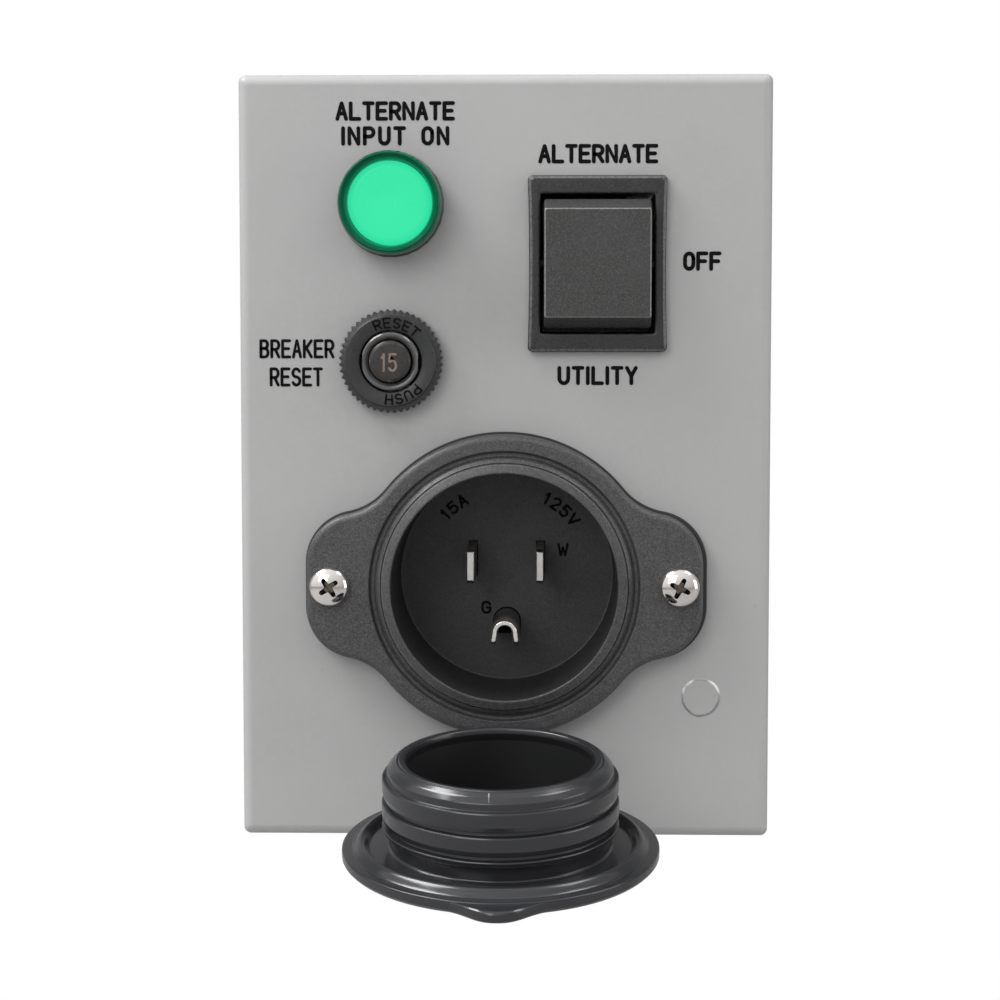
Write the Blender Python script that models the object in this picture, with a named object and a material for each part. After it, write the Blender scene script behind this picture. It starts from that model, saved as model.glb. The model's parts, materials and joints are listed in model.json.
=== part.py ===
"""Generator inlet box: a small steel wall box with a pilot lamp, a push-to-reset
circuit breaker, a three-position rocker switch and a recessed flanged inlet
with a hinged rubber cap.

World frame: origin at the centre of the back plate's wall face, +X right,
+Y into the wall, +Z up. The front panel's outer face lies at y = -DEPTH. Every
front device is modelled about its own empty, which sits where the device's axis
crosses that face, so -Y is ahead of the panel and +Y is inside the box.
All numbers below are millimetres."""

import math

import bpy
import bmesh
from mathutils import Vector

MM = 0.001

# ---- driving dimensions ------------------------------------------------------
WIDTH, HEIGHT, DEPTH = 96.0, 138.0, 70.0
HALF_W, HALF_H = WIDTH / 2, HEIGHT / 2
SHEET = 1.4                  # steel thickness
BEND = 1.5                   # outside bend radius
GAP = 0.3                    # clearance between neighbouring pieces
BEHIND = SHEET + GAP         # y of parts seated behind the panel, from its outer face

# x, z of each device on the panel
INLET_AT = (0.0, -22.7)
LAMP_AT = (-20.4, 45.8)
BREAKER_AT = (-20.4, 17.7)
SWITCH_AT = (16.6, 35.1)
STUD_AT = (35.6, -43.3)

FLANGE_SCREW_X = 31.4        # inlet flange screws, either side of the inlet
BUSHING_HOLE_R = 5.45        # clears the breaker's bushing
GASKET_Y = (-0.95, -0.2)     # front and rear of the inlet and lamp gaskets
FLANGE_BACK_Y = -1.1         # rear of the inlet and lamp flanges
TAB_HALF = 0.4               # half thickness of every push-on terminal
TAB_SLOT_HALF = 0.65         # half height of the slots that breaker and switch tabs pass

# ---- clear the scene ---------------------------------------------------------
for old in list(bpy.data.objects):
    bpy.data.objects.remove(old, do_unlink=True)
SCENE = bpy.context.scene.collection

# ---- materials ---------------------------------------------------------------
# name: (base colour, roughness, metallic)
FINISHES = {
    "grey_paint": ((0.36, 0.36, 0.36), 0.5, 0.0),
    "zinc_steel": ((0.62, 0.63, 0.65), 0.35, 1.0),
    "nickel": ((0.75, 0.73, 0.70), 0.2, 1.0),
    "copper": ((0.80, 0.42, 0.25), 0.35, 1.0),
    "black_plastic": ((0.035, 0.035, 0.037), 0.45, 0.0),
    "black_rubber": ((0.02, 0.02, 0.022), 0.35, 0.0),
    "green_lens": ((0.03, 0.75, 0.4), 0.15, 0.0),
    "circuit_board": ((0.02, 0.2, 0.08), 0.5, 0.0),
    "black_wire": ((0.02, 0.02, 0.02), 0.4, 0.0),
    "white_wire": ((0.8, 0.8, 0.78), 0.4, 0.0),
    "green_wire": ((0.02, 0.3, 0.08), 0.4, 0.0),
}


def make_material(finish, piece_name):
    """A material of the piece's own, with the named finish."""
    colour, roughness, metallic = FINISHES[finish]
    material = bpy.data.materials.new(piece_name + "_" + finish)
    material.use_nodes = True
    shader = material.node_tree.nodes["Principled BSDF"]
    shader.inputs["Base Color"].default_value = (*colour, 1.0)
    shader.inputs["Roughness"].default_value = roughness
    shader.inputs["Metallic"].default_value = metallic
    return material


# ---- frames ------------------------------------------------------------------
def frame(name, x, y, z):
    empty = bpy.data.objects.new(name, None)
    empty.location = (x * MM, y * MM, z * MM)
    SCENE.objects.link(empty)
    return empty


def panel_frame(name, place):
    return frame(name, place[0], -DEPTH, place[1])


ENCLOSURE = frame("enclosure_frame", 0, 0, 0)
INLET = panel_frame("inlet_frame", INLET_AT)
LAMP = panel_frame("lamp_frame", LAMP_AT)
BREAKER = panel_frame("breaker_frame", BREAKER_AT)
SWITCH = panel_frame("switch_frame", SWITCH_AT)


# ---- shapes: (vertices, faces) in the parent's frame ---------------------------
def loft(loops):
    """Faces through loops of equal length, with a cap on each end."""
    count = len(loops[0])
    verts = [point for loop in loops for point in loop]
    faces = []
    for k in range(len(loops) - 1):
        near, far = k * count, (k + 1) * count
        for i in range(count):
            j = (i + 1) % count
            faces.append((near + i, near + j, far + j, far + i))
    faces.append(tuple(range(count - 1, -1, -1)))
    faces.append(tuple(range((len(loops) - 1) * count, len(loops) * count)))
    return verts, faces


def lathe(profile, segs, x=0.0, z=0.0, closed=False):
    """Turns (radius, y) points about the Y axis through x, z. A flat end is one face."""
    verts, rows, faces = [], [], []
    flat_start = profile[0][0] < 1e-6 and profile[0][1] == profile[1][1]
    flat_end = profile[-1][0] < 1e-6 and profile[-1][1] == profile[-2][1]
    profile = profile[1 if flat_start else 0 : -1 if flat_end else None]
    for radius, y in profile:
        if radius < 1e-6:
            rows.append([len(verts)])
            verts.append((x, y, z))
        else:
            rows.append(list(range(len(verts), len(verts) + segs)))
            for i in range(segs):
                # 0.37 of a step keeps vertices off the axes, which helps the booleans
                angle = 2 * math.pi * (i + 0.37) / segs
                verts.append((x + radius * math.cos(angle), y, z + radius * math.sin(angle)))
    for near, far in zip(rows, rows[1:] + ([rows[0]] if closed else [])):
        for i in range(segs):
            j = (i + 1) % segs
            if len(near) == 1 and len(far) > 1:
                faces.append((near[0], far[i], far[j]))
            elif len(far) == 1 and len(near) > 1:
                faces.append((near[i], near[j], far[0]))
            elif len(near) > 1:
                faces.append((near[i], near[j], far[j], far[i]))
    if flat_start:
        faces.append(tuple(reversed(rows[0])))
    if flat_end:
        faces.append(tuple(rows[-1]))
    return verts, faces


def rod(radius, y0, y1, segs, x=0.0, z=0.0):
    return lathe([(0, y0), (radius, y0), (radius, y1), (0, y1)], segs, x, z)


def washer(inner, outer, y0, y1, segs, x=0.0, z=0.0):
    profile = [(inner, y0), (outer, y0), (outer, y1), (inner, y1)]
    return lathe(profile, segs, x, z, closed=True)


def block(x0, x1, y0, y1, z0, z1):
    return loft([[(x0, y, z0), (x1, y, z0), (x1, y, z1), (x0, y, z1)] for y in (y0, y1)])


def bar(x, half_x, y0, y1, z, half_z):
    """A block centred on x, z."""
    return block(x - half_x, x + half_x, y0, y1, z - half_z, z + half_z)


def span(side, near, far):
    """A range of x on one side, in rising order."""
    return sorted((side * near, side * far))


def rounded(half_x, half_z, corner, y, x=0.0, z=0.0, steps=3):
    """A rounded rectangle in the XZ plane, in order of rising angle."""
    points = []
    for k, (side_x, side_z) in enumerate(((1, 1), (-1, 1), (-1, -1), (1, -1))):
        for i in range(steps + 1):
            angle = math.pi / 2 * (k + i / steps)
            points.append((
                x + side_x * (half_x - corner) + corner * math.cos(angle),
                y,
                z + side_z * (half_z - corner) + corner * math.sin(angle),
            ))
    return points


def rounded_stack(stations):
    """Lofts through (half x, half z, corner radius, y) stations."""
    return loft([rounded(*station, steps=2) for station in stations])


def rounded_prism(half_x, half_z, corner, y0, y1):
    return rounded_stack([(half_x, half_z, corner, y) for y in (y0, y1)])


def hexagon(flats, y, x=0.0, z=0.0):
    radius = flats / 2 / math.cos(math.pi / 6)
    angles = [math.pi / 3 * i for i in range(6)]
    return [(x + radius * math.cos(a), y, z + radius * math.sin(a)) for a in angles]


def along_x(shape, side=1, at=(0, 0, 0)):
    """Lays a shape made about the Y axis along X: its +Y points to the given side."""
    verts, faces = shape
    return [(at[0] + side * v[1], at[1] + v[0], at[2] + v[2]) for v in verts], faces


def along_z(shape):
    """Swaps Y and Z."""
    verts, faces = shape
    return [(v[0], v[2], v[1]) for v in verts], faces


# ---- objects -----------------------------------------------------------------
def piece(name, shape, parent, finish="black_plastic", at=(0, 0, 0)):
    """An object with its origin at `at`; the shape stays in the parent's frame."""
    verts, faces = shape
    mesh = bpy.data.meshes.new(name)
    local = [tuple((v[axis] - at[axis]) * MM for axis in range(3)) for v in verts]
    mesh.from_pydata(local, [], faces)
    editable = bmesh.new()
    editable.from_mesh(mesh)
    bmesh.ops.recalc_face_normals(editable, faces=editable.faces)
    if editable.calc_volume(signed=True) < 0:
        bmesh.ops.reverse_faces(editable, faces=editable.faces)
    editable.to_mesh(mesh)
    editable.free()
    obj = bpy.data.objects.new(name, mesh)
    obj.parent = parent
    obj.location = tuple(value * MM for value in at)
    SCENE.objects.link(obj)
    if finish:
        mesh.materials.append(make_material(finish, name))
    return obj


def combine(target, tools, operation):
    """Booleans each tool into the target, then keeps the result as plain mesh."""
    bpy.context.view_layer.update()
    for tool in tools:
        modifier = target.modifiers.new("cut", "BOOLEAN")
        modifier.operation = operation
        modifier.solver = "EXACT"
        modifier.object = tool
    graph = bpy.context.evaluated_depsgraph_get()
    graph.update()
    result = bpy.data.meshes.new_from_object(target.evaluated_get(graph))
    target.modifiers.clear()
    old_mesh = target.data
    material = old_mesh.materials[0] if len(old_mesh.materials) else None
    result.materials.clear()
    if material:
        result.materials.append(material)
    for polygon in result.polygons:
        polygon.material_index = 0
    target.data = result
    bpy.data.meshes.remove(old_mesh)
    for tool in tools:
        bpy.data.objects.remove(tool, do_unlink=True)


def tool_piece(shape, parent):
    return piece("cutter", shape, parent, None)


def cut(target, shapes):
    combine(target, [tool_piece(shape, target.parent) for shape in shapes], "DIFFERENCE")


def fuse(target, shapes):
    combine(target, [tool_piece(shape, target.parent) for shape in shapes], "UNION")


def smooth(obj, angle=32):
    obj.data.shade_smooth()
    obj.data.set_sharp_from_angle(angle=math.radians(angle))


def hex_nut(name, parent, finish, flats, y, thickness, hole_r, segs, x=0.0, z=0.0):
    """A nut whose front face is at y."""
    body = loft([hexagon(flats, level, x, z) for level in (y, y + thickness)])
    nut = piece(name, body, parent, finish)
    cut(nut, [rod(hole_r, y - 1, y + thickness + 1, segs, x, z)])


# ============================ enclosure =======================================
COVER_SCREW_Y, COVER_SCREW_Z = -8, 48    # z is above and below the middle
# half width and half height of the back plate, which nests inside the shell's rear edge
PLATE_X, PLATE_Z = HALF_W - SHEET - GAP, HALF_H - SHEET - GAP
# ring grooves in the bottom wall and the back plate
GROOVE_INNER, GROOVE_OUTER, GROOVE_DEPTH = 10.85, 11.35, 0.7
BOTTOM_GROOVE_X, BOTTOM_GROOVE_Y = 22.0, -36
PLATE_GROOVE_Z = 30
MOUNT_X = 28                 # mounting holes, either side of the middle
KEYHOLE_Z, KEYHOLE_SLOT_Z, LOWER_MOUNT_Z = 44, 49, -52

# (radius, distance outside the side wall)
COVER_SCREW = [
    (0, 2.0), (1.6, 1.9), (2.8, 1.3), (3.1, 0.5), (3.1, 0.15),
    (1.5, 0.15), (1.5, -7.5), (1.1, -8.5), (0, -8.5),
]
# (radius, distance behind the stud's front face)
STUD = [(0, 0), (3.4, 0), (3.4, 1.0), (2.0, 1.6), (2.0, 11.6), (1.5, 12.2), (0, 12.2)]


def side_holes(radius, half_width):
    """Four cover screw holes through the walls at x = +-half_width."""
    return [
        along_x(
            rod(radius, -4, 2, 16),
            side,
            (side * half_width, COVER_SCREW_Y, COVER_SCREW_Z * level),
        )
        for side in (-1, 1)
        for level in (-1, 1)
    ]


def build_shell():
    """The folded cover: front panel and four walls, open at the back."""
    loops = [
        rounded(HALF_W - SHEET, HALF_H - SHEET, 0.5, y) for y in (-DEPTH + SHEET, -GAP)
    ]
    loops.append(rounded(HALF_W, HALF_H, BEND, -GAP))
    for i in range(4):
        angle = math.pi / 2 * i / 3
        inset = BEND * (1 - math.cos(angle))
        y = -DEPTH + BEND * (1 - math.sin(angle))
        loops.append(rounded(HALF_W - inset, HALF_H - inset, max(BEND - inset, 0.05), y))
    shell = piece("enclosure_shell", loft(loops), ENCLOSURE, "grey_paint")

    through = (-DEPTH - 2, -DEPTH + SHEET + 2)
    cuts = [
        rod(8.1, *through, 24, *LAMP_AT),
        rod(BUSHING_HOLE_R, *through, 20, *BREAKER_AT),
        rod(24.0, *through, 36, *INLET_AT),
        rod(2.3, *through, 16, FLANGE_SCREW_X, INLET_AT[1]),
        rod(2.3, *through, 16, -FLANGE_SCREW_X, INLET_AT[1]),
        bar(SWITCH_AT[0], 11.2, *through, SWITCH_AT[1], 14.2),
    ]
    cuts += side_holes(1.9, HALF_W)
    for side in (-1, 1):
        groove = washer(
            GROOVE_INNER, GROOVE_OUTER, -HALF_H - 1, -HALF_H + GROOVE_DEPTH,
            20, side * BOTTOM_GROOVE_X, BOTTOM_GROOVE_Y,
        )
        cuts.append(along_z(groove))
    cut(shell, cuts)
    smooth(shell)


def build_back_plate():
    """The wall plate, with a lip folded forward along each side."""
    plate = piece(
        "back_plate", rounded_prism(PLATE_X, PLATE_Z, 1.0, -SHEET, 0), ENCLOSURE, "grey_paint"
    )
    fuse(plate, [
        block(*span(side, PLATE_X, PLATE_X - SHEET), -14.0, -0.5, -60, 60) for side in (-1, 1)
    ])
    cuts = side_holes(1.75, PLATE_X)
    for side in (-1, 1):
        x = MOUNT_X * side
        cuts.append(rod(4.5, -3, 2, 20, x, KEYHOLE_Z))
        cuts.append(loft([rounded(2.3, 5.0, 2.2, y, x, KEYHOLE_SLOT_Z) for y in (-3, 2)]))
        cuts.append(rod(2.3, -3, 2, 16, x, LOWER_MOUNT_Z))
    # this groove is in the wall face
    cuts.append(washer(GROOVE_INNER, GROOVE_OUTER, -GROOVE_DEPTH, 1, 20, 0, PLATE_GROOVE_Z))
    cut(plate, cuts)
    smooth(plate)


def build_cover_screws():
    """Cross-recessed screws through the two side walls."""
    for side_name, side in (("left", -1), ("right", 1)):
        for level_name, level in (("top", 1), ("bottom", -1)):
            y, z = COVER_SCREW_Y, COVER_SCREW_Z * level
            body = along_x(lathe(COVER_SCREW, 14), side, (side * HALF_W, y, z))
            name = f"cover_screw_{side_name}_{level_name}"
            screw = piece(name, body, ENCLOSURE, "zinc_steel")
            recess = span(side, HALF_W + 0.9, HALF_W + 3)
            cut(screw, [
                block(*recess, y - half_y, y + half_y, z - half_z, z + half_z)
                for half_y, half_z in ((0.35, 1.7), (1.7, 0.35))
            ])
            smooth(screw)


def build_ground_stud():
    """Earthing stud behind the panel, with its nut and the wire's ring terminal."""
    x, z = STUD_AT
    stud_y = -DEPTH + BEHIND
    profile = [(radius, stud_y + y) for radius, y in STUD]
    smooth(piece("ground_stud", lathe(profile, 14, x, z), ENCLOSURE, "zinc_steel"))
    hex_nut("ground_nut", ENCLOSURE, "zinc_steel", 7.0, stud_y + 4.3, 3.0, 2.2, 16, x, z)

    ring_y = (stud_y + 2.9, stud_y + 3.9)
    ring = piece(
        "ground_ring_terminal", washer(2.3, 4.4, *ring_y, 20, x, z), ENCLOSURE, "copper"
    )
    fuse(ring, [block(x - 10.0, x - 3.2, *ring_y, z - 1.8, z + 1.8)])
    smooth(ring)


# ============================ inlet ===========================================
BORE_R = 20.4                # inlet recess
RIM_Y = -6.5                 # front face of the inlet's rim
FLOOR_Y = 18.5               # recess floor
CUP_BACK_Y = FLOOR_Y + 3.0   # rear of the recess cup
COLLAR_R = 22.6              # outside of the rim
BODY_R = 27.3                # round part of the inlet flange
EAR_R, EAR_X, EAR_Z = 9.2, 26.5, 3.9     # corner arcs of the flange's ears
EAR_FILLET = 12.0            # concave arc between ear and body
EAR_FRONT_Y = -3.6           # where the ear's edge starts to slope in

BLADE_X, BLADE_Z = 6.35, 3.0
GROUND_Z = -8.9
CONTACT_END_Y = 38.0
REAR_BODY_Y = CUP_BACK_Y + GAP
REAR_BODY_LENGTH = 11
# name, x, z
TERMINAL_SCREWS = (("hot", -13.0, 3.0), ("neutral", 13.0, 3.0), ("ground", 0.0, -15.6))

# (radius, y): recess floor, rim, groove, round flange, outside of the cup
INLET_FLANGE = [
    (0, FLOOR_Y), (19.8, FLOOR_Y), (20.1, FLOOR_Y - 0.3), (BORE_R, RIM_Y + 0.6),
    (BORE_R + 0.6, RIM_Y), (21.9, RIM_Y), (22.5, RIM_Y + 0.6), (COLLAR_R, EAR_FRONT_Y),
    (24.3, EAR_FRONT_Y), (24.4, -4.9), (26.3, -4.9), (BODY_R, -3.9), (BODY_R, FLANGE_BACK_Y),
    (COLLAR_R, FLANGE_BACK_Y), (22.4, CUP_BACK_Y), (0, CUP_BACK_Y),
]
# (y, inset) of the ears, from rear to front
EAR_STATIONS = ((FLANGE_BACK_Y, 0.0), (EAR_FRONT_Y, 0.0), (-4.35, 0.3), (-4.6, 1.0))
# (radius, distance behind the rear body's front face)
REAR_BODY = [
    (0, 0), (21.4, 0), (21.4, 3), (20.0, 3.5), (20.0, 10),
    (19.0, REAR_BODY_LENGTH), (0, REAR_BODY_LENGTH),
]
# (y, half thickness, half width) of a contact blade
BLADE_STATIONS = ((2.0, 0.35, 2.3), (3.4, 0.75, 3.175), (CONTACT_END_Y, 0.75, 3.175))
# (y, outer radius, inner radius, leg length) of the earth pin
GROUND_PIN_STATIONS = (
    (-1.0, 2.05, 1.55, 1.5), (0.4, 2.45, 1.25, 1.9), (CONTACT_END_Y, 2.45, 1.25, 1.9),
)
# (radius, distance behind the underside of the head)
FLANGE_SCREW_SEAT_Y = -4.75
FLANGE_SCREW = [
    (0, -2.5), (1.3, -2.45), (2.5, -2.05), (3.3, -1.3), (3.6, -0.5), (3.6, 0), (1.75, 0),
    (1.75, 13.95), (1.4, 14.55), (0, 14.55),
]


def flange_outline(y, inset=0.0, body_r=26.4):
    """Outline with an ear each side: corner arcs, concave fillets, body circle."""
    ear_r, fillet_r, tangent_r = EAR_R - inset, EAR_FILLET + inset, BODY_R - inset
    # the fillet's centre is tangent_r + fillet_r from the axis and
    # ear_r + fillet_r from the centre of the ear's corner
    to_axis, to_corner = tangent_r + fillet_r, ear_r + fillet_r
    ear_far = math.hypot(EAR_X, EAR_Z)
    spread = math.acos(
        (to_axis * to_axis + ear_far * ear_far - to_corner * to_corner)
        / (2 * to_axis * ear_far)
    )
    heading = math.atan2(EAR_Z, EAR_X) + spread
    fillet_x, fillet_z = to_axis * math.cos(heading), to_axis * math.sin(heading)
    ear_sweep = math.atan2(fillet_z - EAR_Z, fillet_x - EAR_X)
    quarter = []
    for i in range(5):
        angle = ear_sweep * i / 4
        quarter.append((EAR_X + ear_r * math.cos(angle), EAR_Z + ear_r * math.sin(angle)))
    for i in range(1, 5):
        angle = ear_sweep + math.pi + (heading - ear_sweep) * i / 4
        quarter.append(
            (fillet_x + fillet_r * math.cos(angle), fillet_z + fillet_r * math.sin(angle))
        )
    for i in range(1, 4):
        angle = heading + 0.04 + (math.pi / 2 - heading - 0.04) * (i / 3)
        radius = body_r - inset
        quarter.append((radius * math.cos(angle), radius * math.sin(angle)))
    half = quarter + [(-x, z) for x, z in reversed(quarter[:-1])]
    full = half + [(x, -z) for x, z in reversed(half)]
    return [(x, y, z) for x, z in full]


def contact_slots(y0, y1):
    """Openings for both blades and the earth pin, which is round above, straight below."""
    slots = [bar(BLADE_X * side, 1.0, y0, y1, BLADE_Z, 3.45) for side in (-1, 1)]
    angles = [math.pi * i / 12 for i in range(13)]
    outline = [(2.8 * math.cos(angle), 2.8 * math.sin(angle)) for angle in angles]
    outline += [(-2.8, -1.9), (-2.2, -2.5), (2.2, -2.5), (2.8, -1.9)]
    slots.append(loft([[(x, y, GROUND_Z + z) for x, z in outline] for y in (y0, y1)]))
    return slots


def flange_screw_holes(radius, y0, y1):
    return [rod(radius, y0, y1, 16, FLANGE_SCREW_X * side) for side in (-1, 1)]


def build_inlet_gasket():
    body = loft([flange_outline(y, 0.6, 27.0) for y in GASKET_Y])
    gasket = piece("inlet_gasket", body, INLET, "black_rubber")
    cut(gasket, [rod(24.2, -3, 2, 36)] + flange_screw_holes(2.5, -3, 2))


def build_inlet_flange():
    flange = piece("inlet_flange", lathe(INLET_FLANGE, 44), INLET)
    ears = tool_piece(loft([flange_outline(y, inset) for y, inset in EAR_STATIONS]), INLET)
    # keeps the ears out of the rim and the recess
    cut(ears, [rod(24.35, -8, 3, 44)])
    combine(flange, [ears], "UNION")
    strap_pocket = block(-7.2, 7.2, -2.6, 0, -29.5, -24.0)
    cut(flange, [strap_pocket] + flange_screw_holes(2.2, -8, 3) + contact_slots(15, 25))
    smooth(flange)


def build_rear_body():
    profile = [(radius, REAR_BODY_Y + y) for radius, y in REAR_BODY]
    rear = piece("inlet_rear_body", lathe(profile, 28), INLET)
    cuts = contact_slots(REAR_BODY_Y - 2, REAR_BODY_Y + 14)
    for _, x, z in TERMINAL_SCREWS:
        cuts.append(rod(1.7, REAR_BODY_Y + 5, REAR_BODY_Y + 14, 12, x, z))
    cut(rear, cuts)
    smooth(rear)


def ground_pin_outline(y, outer, inner, leg):
    """A horseshoe, open below."""
    angles = [math.pi * i / 8 for i in range(9)]
    points = [(outer * math.cos(a), outer * math.sin(a)) for a in angles]
    points += [(-outer, -leg), (-inner, -leg)]
    points += [(inner * math.cos(a), inner * math.sin(a)) for a in reversed(angles)]
    points += [(inner, -leg), (outer, -leg)]
    return [(x, y, GROUND_Z + z) for x, z in points]


def build_contacts():
    """Two blades with chamfered tips and the earth pin."""
    for name, side in (("inlet_hot_blade", -1), ("inlet_neutral_blade", 1)):
        x = BLADE_X * side
        loops = [
            [
                (x - half_x, y, BLADE_Z - half_z), (x + half_x, y, BLADE_Z - half_z),
                (x + half_x, y, BLADE_Z + half_z), (x - half_x, y, BLADE_Z + half_z),
            ]
            for y, half_x, half_z in BLADE_STATIONS
        ]
        piece(name, loft(loops), INLET, "nickel")
    pin = loft([ground_pin_outline(*station) for station in GROUND_PIN_STATIONS])
    smooth(piece("inlet_ground_pin", pin, INLET, "nickel"))


def build_terminal_screws():
    """Slotted screws in the back of the rear body, heads facing the wall."""
    body_end = REAR_BODY_Y + REAR_BODY_LENGTH
    seat = body_end + 1.7
    tip = body_end - 5
    profile = [
        (0, seat + 2.2), (2.6, seat + 2.0), (3.0, seat + 1.5), (3.0, seat),
        (1.45, seat), (1.45, tip), (0, tip),
    ]
    for terminal, x, z in TERMINAL_SCREWS:
        name = f"inlet_{terminal}_terminal_screw"
        screw = piece(name, lathe(profile, 16, x, z), INLET, "nickel")
        cut(screw, [bar(x, 3.5, seat + 1.2, seat + 3, z, 0.4)])
        smooth(screw)


def build_flange_screws():
    seat = FLANGE_SCREW_SEAT_Y
    profile = [(radius, seat + y) for radius, y in FLANGE_SCREW]
    for side_name, side in (("left", -1), ("right", 1)):
        x = FLANGE_SCREW_X * side
        screw = piece(f"flange_screw_{side_name}", lathe(profile, 18, x), INLET, "nickel")
        cut(screw, [
            bar(x, half_x, seat - 4, seat - 0.9, 0, half_z)
            for half_x, half_z in ((0.4, 2.1), (2.1, 0.4))
        ])
        smooth(screw)
        hex_nut(f"flange_nut_{side_name}", INLET, "zinc_steel", 7.0, BEHIND, 2.8, 1.95, 16, x)


# ---- inlet cap, described shut -------------------------------------------------
HINGE_Y, HINGE_Z = -2.5, -30.9
CAP_OPEN = 98.0              # degrees from closed, the rest position
LID_R, LID_IN, LID_OUT = 26.8, -7.8, -10.1     # radius, y of the rear and front faces
PLUG_R, PLUG_TIP = 18.9, 7.4
PLUG_HOLE_R = 16.4
RIBS = ((4.8, 19.65), (0.75, 19.85), (-3.35, 19.85))     # y, radius of the plug's ribs
TAB_HALF_W = 8.5             # lifting tab

# (radius, y): hollow of the plug and its tip
PLUG_INSIDE = [
    (0, LID_IN + 1.0), (PLUG_HOLE_R - 0.6, LID_IN + 1.0), (PLUG_HOLE_R, LID_IN + 1.6),
    (PLUG_HOLE_R, PLUG_TIP - 0.4), (PLUG_HOLE_R + 0.4, PLUG_TIP),
    (17.1, PLUG_TIP), (18.3, PLUG_TIP - 0.55),
]
# (radius, y): root of the plug, ring groove, edge and front of the lid
LID_OUTSIDE = [
    (PLUG_R, -5.0), (18.5, -5.3), (18.5, LID_IN), (22.6, LID_IN), (23.1, -6.7), (23.9, -6.7),
    (24.4, LID_IN), (LID_R - 0.4, LID_IN), (LID_R, LID_IN - 0.4),
    (LID_R, LID_OUT + 0.8), (LID_R - 0.8, LID_OUT), (0, LID_OUT),
]
# (y, z of the tip) of the lifting tab, from rear to front
TAB_STATIONS = (
    (LID_IN - 0.15, 27.0), (LID_IN - 1.5, 29.6), (LID_OUT + 0.35, 30.0), (LID_OUT + 0.05, 29.6),
)
STRAP_END_R = 0.95
STRAP_END_ANGLES = (232, 270, 308, 346, 24, 52)     # degrees about the hinge, from +Y
STRAP_LID_END = [(-8.0, -26.7), (-8.1, -25.2), (-9.8, -25.2), (-9.7, -27.0)]     # y, z


def lifting_tab():
    """Tab at the edge away from the hinge, swelling out of the lid's circle."""
    loops = []
    for y, tip in TAB_STATIONS:
        outline = []
        for i in range(13):
            x = TAB_HALF_W - 2 * TAB_HALF_W * i / 12
            swell = (1 + math.cos(math.pi * x / TAB_HALF_W)) / 2
            edge = math.sqrt((LID_R - 0.2) ** 2 - x * x)
            outline.append((x, y, edge + (tip - LID_R) * swell))
        loops.append(outline + [(-TAB_HALF_W, y, 22.0), (TAB_HALF_W, y, 22.0)])
    return loft(loops)


def cap_strap():
    """Strap from the lid's edge down to a round end on the hinge line."""
    angles = [math.radians(degrees) for degrees in STRAP_END_ANGLES]
    side = [
        (HINGE_Y + STRAP_END_R * math.cos(a), HINGE_Z + STRAP_END_R * math.sin(a))
        for a in angles
    ]
    side += STRAP_LID_END
    return loft([[(x, y, z) for y, z in side] for x in (-6.5, 6.5)])


def build_cap():
    """Modelled shut with its origin on the hinge, then turned open."""
    ribs = []
    for y, radius in RIBS:
        ribs += [(PLUG_R, y + 1.5), (radius, y + 0.2), (radius, y - 0.2), (PLUG_R, y - 0.7)]
    body = lathe(PLUG_INSIDE + ribs + LID_OUTSIDE, 40)
    cap = piece("inlet_cap", body, INLET, "black_rubber", (0.0, HINGE_Y, HINGE_Z))
    fuse(cap, [lifting_tab(), cap_strap()])
    smooth(cap)
    cap.rotation_euler = (math.radians(CAP_OPEN), 0, 0)


def build_strap_root():
    """The strap's clamped root, under the flange."""
    root = block(-6.9, 6.9, -2.35, -1.25, -29.1, -24.6)
    piece("cap_strap_root", root, INLET, "black_rubber")


# ============================ pilot lamp ======================================
LAMP_TAB_X = 3.6             # terminals, either side of the axis
# (radius, y) profiles
LAMP_BODY = [
    (0, 23.5), (6.6, 23.5), (6.6, -2.6), (9.4, -2.6), (9.8, -2.2),
    (9.8, FLANGE_BACK_Y), (7.8, FLANGE_BACK_Y), (7.8, 25.0), (7.2, 26.0), (0, 26.0),
]
LAMP_LENS = [
    (0, -6.4), (5.3, -6.4), (5.3, 2.0), (6.3, 2.0), (6.3, -2.9), (9.5, -2.9),
    (9.55, -3.6), (9.2, -6.6), (8.5, -8.1), (7.6, -8.6), (0, -8.6),
]
# domed LED in front of a round board
LED_BOARD = [
    (0, 1.0), (1.2, 1.3), (2.3, 2.6), (2.5, 4.0), (2.5, 6.0), (6.2, 6.0), (6.2, 7.4), (0, 7.4),
]


def build_lamp():
    smooth(piece("lamp_gasket", washer(8.2, 9.5, *GASKET_Y, 28), LAMP, "black_rubber"))
    body = piece("lamp_body", lathe(LAMP_BODY, 24), LAMP)
    cut(body, [bar(side * LAMP_TAB_X, 2.7, 20, 30, 0, 0.7) for side in (-1, 1)])
    smooth(body)
    smooth(piece("lamp_lens", lathe(LAMP_LENS, 28), LAMP, "green_lens"))
    smooth(piece("lamp_led_board", lathe(LED_BOARD, 20), LAMP, "circuit_board"))
    hex_nut("lamp_locknut", LAMP, "black_plastic", 19.0, BEHIND, 4.0, 8.05, 24)
    for name, side in (("lamp_terminal_left", -1), ("lamp_terminal_right", 1)):
        piece(name, bar(side * LAMP_TAB_X, 2.4, 21.5, 33.5, 0, TAB_HALF), LAMP, "nickel")


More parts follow.
